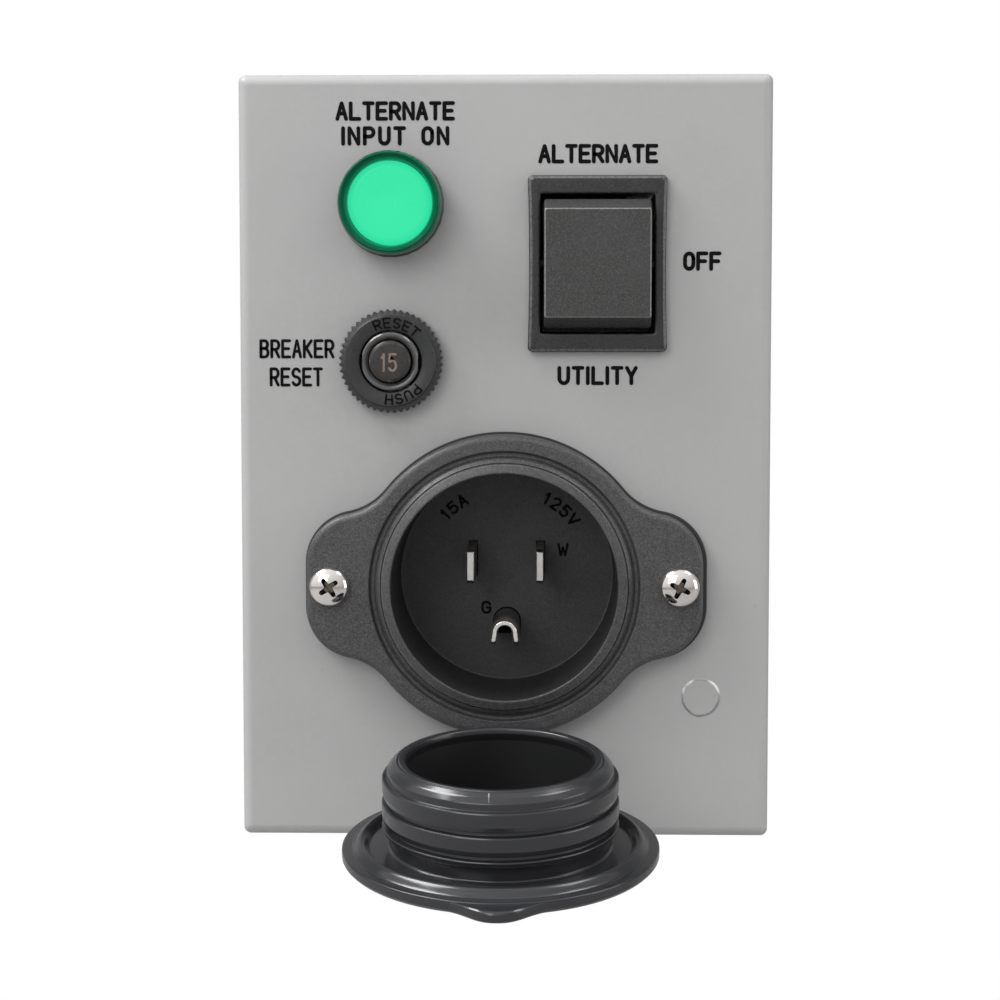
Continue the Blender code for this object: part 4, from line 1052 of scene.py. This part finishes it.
def inlet_seal_and_shadow():
    """The seal behind the flange shows as a thin dark line all round; standing out past the flange's edge, it is
    partly painted shadow under that edge.
    """
    outside = ((-0.36, -0.12), (-0.4, -0.3), (-0.4, -0.85), (-0.3, -1.02), (0.3, -1.06))  # inset, y
    inside = ((23.6, -1.06), (23.35, -0.9), (23.35, -0.2), (23.6, -0.06))  # radius, y
    loops = [flange_edge(inset, y) for inset, y in outside]
    loops += [flange_ring(radius, y) for radius, y in inside]
    loops.append(flange_edge(0.3, -0.06))
    # it is shifted a little to the right, so it shows more there: painted shadow beside the right ear
    loops = [
        [(x + 0.42 * min(1.0, max(0.0, (x - 22.0) / 9.0)), y, z) for x, y, z in loop]
        for loop in loops
    ]
    seal = mesh_object("inlet_seal_and_painted_shadow", loft(loops, closed=True), SOFT, INLET)
    combine(seal, [rod(2.25, -8, 3, FLANGE_SCREW_X * side, 0, 40) for side in (-1, 1)], INLET)
    tidy(seal, 30)
    finish_piece(seal, "box", "black_rubber", "inlet_gasket")


def inlet_letters():
    """Plain terminal letters and the rating, moulded in the floor."""
    for name, lines, ring in (
        ("inlet_terminal_letters", [("G", -3.9, -6.4, 1.9, 0.2), ("W", 10.6, 4.6, 2.1, 0.2)], None),
        ("inlet_rating_left", [("15A", 0, 0, 1.9, 0.35)], (16.2, 128)),
        ("inlet_rating_right", [("125V", 0, 0, 1.9, 0.35)], (16.2, 50)),
    ):
        letters = lettering(
            name, lines, INLET + Vector((0, FLOOR_Y, 0)), cap_height=2.5, stroke=0.44,
            material=INK, depth=0.2, sink=0.03, ring=ring,
        )
        finish_piece(letters, "box", "black_plastic")


def blades():
    # y, half thickness, half height, corner radius
    stations = (
        (2.0, 0.52, 2.55, 0.2), (2.12, 0.64, 2.72, 0.22), (2.9, 0.73, 3.12, 0.2),
        (3.2, 0.75, 3.175, 0.18), (38.0, 0.75, 3.175, 0.18),
    )
    for name, side in (("inlet_hot_blade", -1), ("inlet_neutral_blade", 1)):
        centre = (BLADE_X * side, BLADE_Z)
        loops = [
            rounded(half_x, half_z, radius, y, steps=3, centre=centre)
            for y, half_x, half_z, radius in stations
        ]
        obj = mesh_object(name + "_plated", loft(loops), PRONG, INLET, smooth=30)
        finish_piece(obj, "box", "nickel", name)


def horseshoe(y, shrink):
    """The ground pin's section, thinned by shrink on every side."""
    outer, inner, leg_z = 2.45 - shrink, 1.25 + shrink, GROUND_Z - (1.5 - shrink)
    leg_x, half = (outer + inner) / 2 + 0.22, (outer - inner) / 2
    points = swing(0.0, GROUND_Z, outer, 0.0, pi, 20)
    points += swing(-leg_x, leg_z, half, pi, pi, 8)[1:-1]
    points += swing(0.0, GROUND_Z, inner, pi, -pi, 20)
    points += swing(leg_x, leg_z, half, pi, pi, 8)[1:-1]
    return [(x, y, z) for x, z in points]


def ground_pin():
    stations = ((-1.0, 0.34), (-0.92, 0.24), (-0.3, 0.06), (0.3, 0.0), (38.0, 0.0))  # y, shrink
    loops = [horseshoe(y, shrink) for y, shrink in stations]
    pin = mesh_object("inlet_ground_pin_plated", loft(loops), PRONG, INLET, smooth=32)
    finish_piece(pin, "box", "nickel", "inlet_ground_pin")


# ------------------------------------------------------------------ rubber cap
# Drawn shut, then turned open about the hinge, which is its rest pose.
lid_low, lid_high = box_mm("inlet_cap")
LID_R = (lid_high.x - lid_low.x) / 2
LID_IN, LID_OUT = -7.8, -10.1  # the lid's inner and outer faces
PLUG_R, PLUG_TIP = 19.0, 7.4
TAB_SPAN = 9.0  # half width of the lifting tab
pivot = Vector(hinge) * MM
CAP_TURN = (
    Matrix.Translation(pivot) @ Matrix.Rotation(CAP_OPEN, 4, "X") @ Matrix.Translation(-pivot)
)

# radius, y, rounding: up the hollow inside of the plug and over its tip
PLUG_PROFILE = (
    (0, LID_IN + 1.0, 0), (15.4, LID_IN + 1.0, 1.0), (16.3, LID_IN + 2.0, 0.8),
    (16.1, PLUG_TIP - 2.2, 0.8), (15.75, PLUG_TIP - 1.0, 0.5), (15.9, PLUG_TIP - 0.2, 0.35),
    (16.35, PLUG_TIP, 0.25), (16.95, PLUG_TIP - 0.02, 0.12), (17.12, PLUG_TIP - 0.28, 0.08),
    (17.36, PLUG_TIP - 0.2, 0.25), (18.2, PLUG_TIP - 0.78, 1.6), (18.94, 5.72, 0.5),
    (PLUG_R, 5.3, 0.12),
)
PLUG_RIBS = ((4.8, 19.88, 3.2), (0.72, 19.95, 3.25), (-3.38, 19.97, 0.95))  # y, radius, length
# y, how far the sides sit inside the lid's rim, z of the tab's end
TAB_STATIONS = (
    (LID_IN - 0.20, 0.4, 29.15), (LID_IN - 0.25, 0.2, 29.5), (LID_IN - 0.42, 0.08, 29.8),
    (LID_IN - 0.7, 0.08, 29.97), (LID_IN - 1.2, 0.08, 30.0), (LID_OUT + 0.62, 0.22, 30.0),
    (LID_OUT + 0.35, 0.42, 29.9), (LID_OUT + 0.14, 0.66, 29.6), (LID_OUT + 0.03, 0.92, 29.1),
)
# y, z, rounding: side view of the arm from the lid's edge to the hinge
ARM_OUTLINE = (
    (-8.0, -24.6, 0), (-9.85, -24.6, 0), (-9.75, -27.2, 0.6),
    (-4.35, -31.0, 0.3), (-3.35, -29.6, 0.3), (-8.1, -26.3, 0.5),
)


def cap_profile():
    profile = list(PLUG_PROFILE)
    for y, radius, length in PLUG_RIBS:
        profile += [
            (PLUG_R, y + 0.3, 0.12), (PLUG_R + 0.04, y - 0.22, 0.12),
            (radius - 0.12, y - 0.38, 0.12), (radius, y - 0.62, 0.22),
            (radius - 0.03, y - length + 0.5, 0.5), (radius - 0.28, y - 0.42 - length, 0.15),
        ]
    profile += [
        (PLUG_R, -4.95, 0.25), (PLUG_R - 0.35, -5.25, 0.15), (18.45, LID_IN + 0.35, 0.4),
        (18.9, LID_IN, 0.3), (22.0, LID_IN, 0.3),
    ]
    # a low bead round the lid's inner face
    for i in range(1, 16):
        profile.append((22.0 + 3.0 * i / 16, LID_IN + 1.3 * sin(pi * i / 16) ** 1.35, 0))
    profile += [
        (25.0, LID_IN, 0.3), (LID_R - 0.05, LID_IN, 0.3), (LID_R, LID_IN - 0.5, 0.3),
        (LID_R - 0.02, LID_OUT + 0.75, 0.6), (LID_R - 0.75, LID_OUT, 0.6), (0, LID_OUT, 0),
    ]
    return fillet(profile, 5)


def tab_shape():
    """Lifting tab: the lid's outline swells into it."""
    loops = []
    for y, inside, end in TAB_STATIONS:
        base = LID_R - inside
        loop = []
        for i in range(49):
            x = TAB_SPAN - 2 * TAB_SPAN * i / 48
            u = min(1.0, abs(x) / TAB_SPAN)
            swell = 1 - u * u * u * (u * (6 * u - 15) + 10)
            loop.append((x, y, (base ** 2 - x * x) ** 0.5 + (end - base) * swell))
        loops.append(loop + [(-TAB_SPAN, y, 21.5), (TAB_SPAN, y, 21.5)])
    return loft(loops)


def arm_shape():
    """Strap arm: leaves the lid's edge and runs towards the hinge line."""
    outline = fillet(ARM_OUTLINE, 4)
    centre_y = sum(p[0] for p in outline) / len(outline)
    centre_z = sum(p[1] for p in outline) / len(outline)
    loops = []
    for x, shrink in (
        (-6.5, 0.25), (-6.3, 0.06), (-6.0, 0.0), (6.0, 0.0), (6.3, 0.06), (6.5, 0.25)
    ):
        loops.append([
            (x, y + (centre_y - y) * shrink * 0.15, z + (centre_z - z) * shrink * 0.15)
            for y, z in outline
        ])
    return loft(loops)


def cap():
    obj = mesh_object("inlet_cap_rubber", lathe(cap_profile(), 144), RUBBER, INLET)
    combine(obj, [tab_shape(), arm_shape()], INLET, "UNION")
    # painted shade inside the plug's hollow
    mark_faces(obj, INLET, (
        (HOLLOW_SHADE, lambda c: hypot(c.x, c.z) < 16.42 and LID_IN < c.y < PLUG_TIP - 0.75),
    ))
    obj.data.transform(CAP_TURN)
    tidy(obj, 26)
    finish_piece(obj, "cap", "black_rubber", "inlet_cap")


def cap_mould_line():
    """A line across the plug's shoulder, at the side that faces forward when open."""
    path = ((17.45, 7.14), (17.75, 6.93), (18.12, 6.67), (18.45, 6.31), (18.75, 5.95))  # radius, y
    # x and height of its section
    section = ((-0.12, 0.03), (0.0, 0.08), (0.12, 0.03), (0.12, -0.25), (-0.12, -0.25))
    loops = []
    for radius, y in path:
        loop = []
        for offset, height in section:
            x, reach = offset - 1.4, radius + 0.66 * height
            loop.append((x, y + 0.75 * height, (reach * reach - x * x) ** 0.5))
        loops.append(loop)
    seam = mesh_object("cap_mould_line", loft(loops), MOULD_LINE, INLET)
    seam.data.transform(CAP_TURN)
    finish_piece(seam, "cap", "black_rubber")


def cap_strap_web():
    """From its clamped root under the flange, over the hinge line, into the cap's arm."""
    shut = Vector((-5.4, 3.8)).normalized()  # y, z towards the lid when shut
    turn_cos, turn_sin = cos(CAP_OPEN), sin(CAP_OPEN)
    toward_lid = Vector((
        shut.x * turn_cos - shut.y * turn_sin, shut.x * turn_sin + shut.y * turn_cos
    ))
    axis = Vector((HINGE_Y, HINGE_Z))
    root = ((-1.8, -24.8), (-1.8, -27.4), (-1.85, -29.0), (-2.15, -30.2))  # y, z
    path = [Vector(point) for point in root]
    path += [axis, axis + toward_lid * 1.2, axis + toward_lid * 2.4]
    curve = []
    for k in range(len(path) - 1):
        p0, p1, p2, p3 = path[max(k - 1, 0)], path[k], path[k + 1], path[min(k + 2, len(path) - 1)]
        for step in range(6):
            t = step / 6
            curve.append(0.5 * (
                2 * p1 + (p2 - p0) * t + (2 * p0 - 5 * p1 + 4 * p2 - p3) * t * t
                + (3 * p1 - p0 - 3 * p2 + p3) * t ** 3
            ))
    curve.append(path[-1])
    loops = []
    for i, p in enumerate(curve):
        ahead = (curve[min(i + 1, len(curve) - 1)] - curve[max(i - 1, 0)]).normalized()
        half_thick = 0.55 if i < 10 else 0.62
        loops.append([
            (x, p.x - ahead.y * out, p.y + ahead.x * out)
            for x, _, out in rounded(6.55, half_thick, 0.4, 0.0, steps=3)
        ])
    web = mesh_object("cap_strap_web", loft(loops), RUBBER, INLET, smooth=40)
    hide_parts("cap_strap_root")
    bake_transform(web)


# ------------------------------------------------------------------ pilot lamp
# radius, y, rounding
LENS_PROFILE = (
    (9.22, -2.3, 0), (9.28, -3.0, 0.3), (9.26, -5.6, 0.9), (9.05, -7.0, 0.8), (8.84, -7.75, 0.2),
    (8.66, -8.0, 0.1), (8.46, -7.98, 0.1), (8.34, -7.62, 0.06), (8.06, -7.5, 0.12),
    (7.84, -6.9, 0.5), (7.62, -5.6, 0.3), (7.56, -5.0, 0.1), (7.56, -2.3, 0),
)
LIT_FACE_PROFILE = (
    (0, -5.3, 0), (6.4, -5.2, 0.8), (7.2, -5.0, 0.35), (7.46, -4.65, 0.3),
    (7.46, -2.5, 0.1), (6.3, -2.2, 0.3), (6.3, 2.0, 0.2), (0, 2.0, 0),
)


def lamp():
    profile = [(0, 23.5), (6.75, 23.5), (6.75, -2.15), (9.15, -2.15), (9.45, -1.85), (9.45, -1.15)]
    profile.append((7.8, -1.1))
    profile += thread(0.0, 22.5, 1.0, ((7.8, 0.2), (7.45, 0.5), (7.8, 0.8)))
    profile += [(7.8, 25.4), (7.2, 26.0), (0, 26.0)]
    body = mesh_object("lamp_body_threaded", lathe(profile, 96), BLACK, LAMP)
    combine(body, [box((x - 2.7, x + 2.7), (20, 30), (-0.7, 0.7)) for x in (-3.6, 3.6)], LAMP)
    tidy(body, 26)
    finish_piece(body, "box", "black_plastic", "lamp_body")

    shape = lathe(fillet(LENS_PROFILE, 5), 128, closed=True)
    lens = mesh_object("lamp_lens_clear", shape, GLASS, LAMP, smooth=30)
    finish_piece(lens, "box", "green_lens", "lamp_lens")

    shape = lathe(fillet(LIT_FACE_PROFILE, 5), 96)
    face = mesh_object("lamp_lit_face", shape, LIT, LAMP, smooth=30)
    finish_piece(face, "box", "green_lens")


# ------------------------------------------------------------------ circuit breaker
NUT_TEETH, STEPS_PER_TOOTH = 48, 8
NUT_STEPS = NUT_TEETH * STEPS_PER_TOOTH
NUT_R = 9.35
# radius, y, rounding
BUTTON_PROFILE = (
    (0, -6.0, 0), (3.15, -6.0, 0.25), (3.62, -5.75, 0.3), (3.75, -5.3, 0.3), (3.75, 5.0, 0.3),
    (1.9, 6.0, 0.2), (1.9, 13.0, 0.1), (4.6, 13.0, 0.1), (4.6, 14.2, 0.1), (1.9, 14.2, 0.1),
    (1.9, 22.8, 0.2), (0, 22.8, 0),
)


def toothed(y, cut, depth=0.5):
    """A loop of rounded V teeth, drawn in by cut."""
    loop = []
    for i in range(NUT_STEPS):
        angle = 2 * pi * i / NUT_STEPS
        wave = abs(2 * ((i % STEPS_PER_TOOTH) / STEPS_PER_TOOTH) - 1)
        wave = wave * wave * (3 - 2 * wave)
        reach = NUT_R - depth * wave - cut
        loop.append((reach * cos(angle), y, reach * sin(angle)))
    return loop


def breaker_nut():
    loops = [circle(radius, -0.35, NUT_STEPS) for radius in (5.5, 8.4)]
    for y, cut in ((-0.38, 0.1), (-0.6, 0.0), (-2.75, 0.0), (-3.05, 0.1)):
        loops.append(toothed(y, cut))
    loops.append(toothed(-3.22, 0.3, 0.35))
    # radius, y: the raised front face and the bore
    for radius, y in (
        (8.35, -3.3), (8.2, -3.34), (8.12, -3.62), (8.0, -3.7),
        (5.75, -3.7), (5.62, -3.64), (5.54, -3.4), (5.5, -3.0),
    ):
        loops.append(circle(radius, y, NUT_STEPS))
    shape = loft(loops, closed=True)
    nut = mesh_object("breaker_nut_knurled", shape, NUT, BREAKER, smooth=30)
    finish_piece(nut, "box", "black_plastic", "breaker_nut")

    # moulded lettering on the nut's face
    for name, word, degrees in (
        ("breaker_nut_word", "RESET", 80), ("breaker_nut_word_low", "PUSH", 290)
    ):
        obj = lettering(
            name, [(word, 0, 0, 1.42, 0.36)], BREAKER + Vector((0, -3.66, 0)), cap_height=1.95,
            stroke=0.30, material=INK, depth=0.24, sink=0.06, ring=(6.85, degrees),
        )
        finish_piece(obj, "box", "black_plastic")


def breaker_bushing():
    profile = [(4.02, 6.9), (4.02, -4.1), (4.3, -4.5), (4.5, -4.62), (4.9, -4.66), (5.12, -4.48)]
    profile += thread(-4.3, 4.6, 0.65, ((5.18, 0.05), (5.18, 0.2), (4.9, 0.42), (4.9, 0.5)))
    profile += [(5.15, 5.2), (6.8, 5.2), (6.8, 6.9)]
    obj = mesh_object(
        "breaker_bushing_threaded", lathe(profile, 96, closed=True), THREAD, BREAKER
    )
    flats = [box((side * 4.93, side * 6.0), (-6, 5.0), (-5, 5)) for side in (-1, 1)]
    combine(obj, flats, BREAKER)
    tidy(obj, 26)
    finish_piece(obj, "box", "black_plastic", "breaker_bushing")


def breaker_button():
    shape = lathe(fillet(BUTTON_PROFILE, 4), 72)
    button = mesh_object("breaker_button_moulded", shape, BUTTON, BREAKER, smooth=30)
    finish_piece(button, "reset_button", "black_plastic", "breaker_button")
    rating = lettering(
        "button_rating", [("15", 0.0, -0.2, 1.72, 0.22)], BREAKER + Vector((-0.1, -6.0, 0)),
        cap_height=3.35, stroke=0.42, material=TAN, sink=0.03,
    )
    finish_piece(rating, "reset_button", "black_plastic")


# ------------------------------------------------------------------ rocker switch
BEZEL_X, BEZEL_Z = 12.5, 15.75  # half width and half height
BEZEL_TOP = -2.3
WAIST = 0.26
STRAIGHT = 0.001  # a waist too small to see, which keeps a loop's point count


def pin_hole(radius):
    return turned(rod(radius, -13, 13, segments=32), ROCKER_PIVOT_Y, 0)


def switch_housing():
    def station(half_x, half_z, radius, y, waist=WAIST):
        return rounded(half_x, half_z, radius, y, steps=5, waist=waist)

    loops = [station(BEZEL_X, BEZEL_Z, 0.9, y) for y in (-0.3, -1.45)]
    for i in range(1, 6):
        angle = pi / 2 * i / 5
        cut = 0.42 * (1 - cos(angle))
        loops.append(station(BEZEL_X - cut, BEZEL_Z - cut, 0.9, -1.45 - 0.6 * sin(angle)))
    loops.append(station(11.9, 15.15, 0.8, BEZEL_TOP + 0.03))
    loops.append(station(11.6, 14.85, 0.8, BEZEL_TOP))
    loops.append(station(10.75, 12.95, 0.6, BEZEL_TOP, WAIST * 0.5))
    for i in range(1, 5):
        angle = pi / 2 * i / 4
        cut = 0.35 * sin(angle)
        y = BEZEL_TOP + 0.35 * (1 - cos(angle))
        loops.append(station(10.6 - cut, 12.8 - cut, 0.55, y, STRAIGHT))
    loops += [station(10.25, 12.45, 0.5, y, STRAIGHT) for y in (2.0, 20.0)]
    loops += [station(10.95, 14.0, 0.7, y, STRAIGHT) for y in (20.0, -0.28)]
    housing = mesh_object("switch_bezel_and_housing", loft(loops, closed=True), BEZEL, SWITCH)
    # a wedge catch above and below, behind the panel
    catches = []
    for end in (-1, 1):
        foot = end * 13.5
        catches.append(loft([
            [(-4, y, foot), (4, y, foot), (4, y, end * tip), (-4, y, end * tip)]
            for y, tip in ((1.8, 15.0), (5.5, 14.05))
        ]))
    combine(housing, catches, SWITCH, "UNION")
    combine(housing, [pin_hole(1.2)], SWITCH)

    # painted highlight: the bezel's outer edge faces get a lighter plastic
    def highlit_edge(c):
        side = BEZEL_X - WAIST * (1 - min(1.0, abs(c.z) / BEZEL_Z) ** 2)
        return -2.2 < c.y < -1.88 and (abs(c.x) > side - 0.52 or abs(c.z) > 15.23)

    mark_faces(housing, SWITCH, ((SOFT_EDGE_HIGHLIGHT, highlit_edge),))
    tidy(housing, 28)
    finish_piece(housing, "box", "black_plastic", "switch_housing")


def switch_rocker():
    # half width, half height, corner radius, y: a rounded knee leads into the sloped ends
    stations = [
        (9.55, 11.42, 0.45, 2.4), (9.55, 11.45, 0.45, -2.3), (9.55, 11.38, 0.45, -2.75),
        (9.54, 11.18, 0.45, -3.2), (9.5, 9.72, 0.4, -6.02),
    ]
    for i in range(1, 7):
        angle = pi / 2 * i / 6
        drop = 1 - cos(angle)
        stations.append((9.5 - 0.36 * drop, 9.70 - 0.32 * drop, 0.35, -6.05 - 0.4 * sin(angle)))
    loops = [rounded(*station, steps=4) for station in stations]
    rocker = mesh_object("switch_rocker_moulded", loft(loops), ROCKER, SWITCH)
    combine(rocker, [box((-8.0, 8.0), (-4.6, 4.0), (-9.4, 9.4))], SWITCH)
    hub = box((-8.4, 8.4), (-5.0, 3.4), (-2.4, 2.4))
    leg = [(0, 3.0), (1.5, 3.0), (1.5, 9.8), (1.2, 10.7), (0.6, 11.0), (0, 11.0)]
    combine(rocker, [hub] + [lathe(leg, 32, x) for x in (-5.2, 5.2)], SWITCH, "UNION")
    combine(rocker, [pin_hole(1.1)], SWITCH)

    # painted highlight: the paddle's edge faces get a lighter plastic
    def highlit_edge(c):
        at_side = abs(c.x) > 9.2 and abs(c.z) < 9.5
        return -6.44 < c.y < -6.0 and (9.40 < abs(c.z) < 9.70 or at_side)

    mark_faces(rocker, SWITCH, ((EDGE_HIGHLIGHT, highlit_edge),))
    tidy(rocker, 24)
    finish_piece(rocker, "rocker", "black_plastic", "switch_rocker")


# ------------------------------------------------------------------ assembly
enclosure()
stud_weld_mark()
legends()
cover_screws()
inlet_flange()
inlet_seal_and_shadow()
inlet_letters()
blades()
ground_pin()
flange_screws()
cap()
cap_mould_line()
cap_strap_web()
lamp()
breaker_nut()
breaker_bushing()
breaker_button()
switch_housing()
switch_rocker()

# the plain solids that stay get softened edges
for name in (
    "back_plate", "breaker_case", "breaker_cover", "switch_base", "inlet_rear_body",
    "lamp_locknut", "breaker_back_nut", "flange_nut_left", "flange_nut_right", "ground_nut",
):
    modifier = NODES[name].modifiers.new("edges", "BEVEL")
    modifier.width = (0.12 if name == "back_plate" else 0.15) * MM
    modifier.segments = 2
    modifier.limit_method = "ANGLE"
    modifier.angle_limit = radians(35.0)
    modifier.use_clamp_overlap = True
for node in NODES.values():
    if not node.hide_render:
        shade(node, 32)
        even_normals(node)

# ------------------------------------------------------------------ floor, light, camera
# The floor, the lights and their places are in metres.


def floor():
    """A floor that curves up into a backdrop."""
    half, level = 3.0, -0.19
    curve_start, curve_radius = 0.35, 0.5
    profile = [(-half, level), (curve_start, level)]  # y, z
    for i in range(1, 13):
        angle = pi / 2 * i / 12
        profile.append(
            (curve_start + curve_radius * sin(angle), level + curve_radius * (1 - cos(angle)))
        )
    profile.append((curve_start + curve_radius, level + half))
    verts = [(x, y, z) for y, z in profile for x in (-half, half)]
    faces = [(2 * k, 2 * k + 1, 2 * k + 3, 2 * k + 2) for k in range(len(profile) - 1)]
    look = new_look("floor_white")
    look.surface({
        "Base Color": (0.36, 0.36, 0.36),
        "Roughness": 0.9,
        "Normal": look.bump(look.noise(scale=40), strength=0.02, depth=0.1),
    })
    look.white_to_camera("ShaderNodeEmission", "Material Output")
    obj = new_object("floor", verts, faces, look.owner)
    obj.data.shade_smooth()


def studio():
    """Surroundings brightest above and to the left, darkest low on the right."""
    world = bpy.data.worlds.new("studio")
    bpy.context.scene.world = world
    look = Shading(world, "Background")
    brightest = Vector((-0.42, -0.22, 0.88)).normalized()
    toward = look.add(
        "ShaderNodeVectorMath", {0: look.coord_node.outputs["Generated"], 1: brightest},
        operation="DOT_PRODUCT",
    )
    strength = look.ramp(toward.outputs["Value"], over=(-0.85, 0.9), to=(0.15, 0.98))
    look.surface({"Color": (1.0, 1.0, 1.0), "Strength": strength})
    look.white_to_camera("ShaderNodeBackground", "World Output")


def area_light(name, at, width, height, power):
    data = bpy.data.lights.new(name, "AREA")
    data.shape = "RECTANGLE"
    data.size = width
    data.size_y = height
    data.energy = power
    obj = bpy.data.objects.new(name, data)
    obj.location = at
    obj.rotation_mode = "QUATERNION"
    target = Vector((0.0, -0.07, 0.0))
    obj.rotation_quaternion = (target - Vector(at)).to_track_quat("-Z", "Y")
    bpy.context.scene.collection.objects.link(obj)


def camera():
    """Almost square to the panel, slightly from the right and above."""
    aim = Vector((-0.88, PANEL_Y, -7.4))
    eye = Vector((9.0, PANEL_Y - 415.0, 22.0))
    data = bpy.data.cameras.new("camera")
    obj = bpy.data.objects.new("camera", data)
    bpy.context.scene.collection.objects.link(obj)
    bpy.context.scene.camera = obj
    obj.location = eye * MM
    obj.rotation_mode = "QUATERNION"
    obj.rotation_quaternion = (aim - eye).normalized().to_track_quat("-Z", "Y")
    data.sensor_width = 36.0
    data.lens = 82.7676
    data.clip_start = 0.02
    data.clip_end = 50.0


floor()
studio()
area_light("key", (-0.45, -1.00, 0.50), width=0.6, height=0.6, power=3.4)
area_light("fill", (0.90, -0.30, 0.1), width=0.45, height=0.45, power=1.5)
area_light("top_left", (-0.60, -0.18, 0.82), width=0.55, height=0.42, power=9.6)
area_light("top_right", (0.56, -0.19, 0.84), width=0.36, height=0.30, power=2.0)
camera()

view = bpy.context.scene.view_settings
view.view_transform = "Standard"
view.look = "None"
view.exposure = 0.0
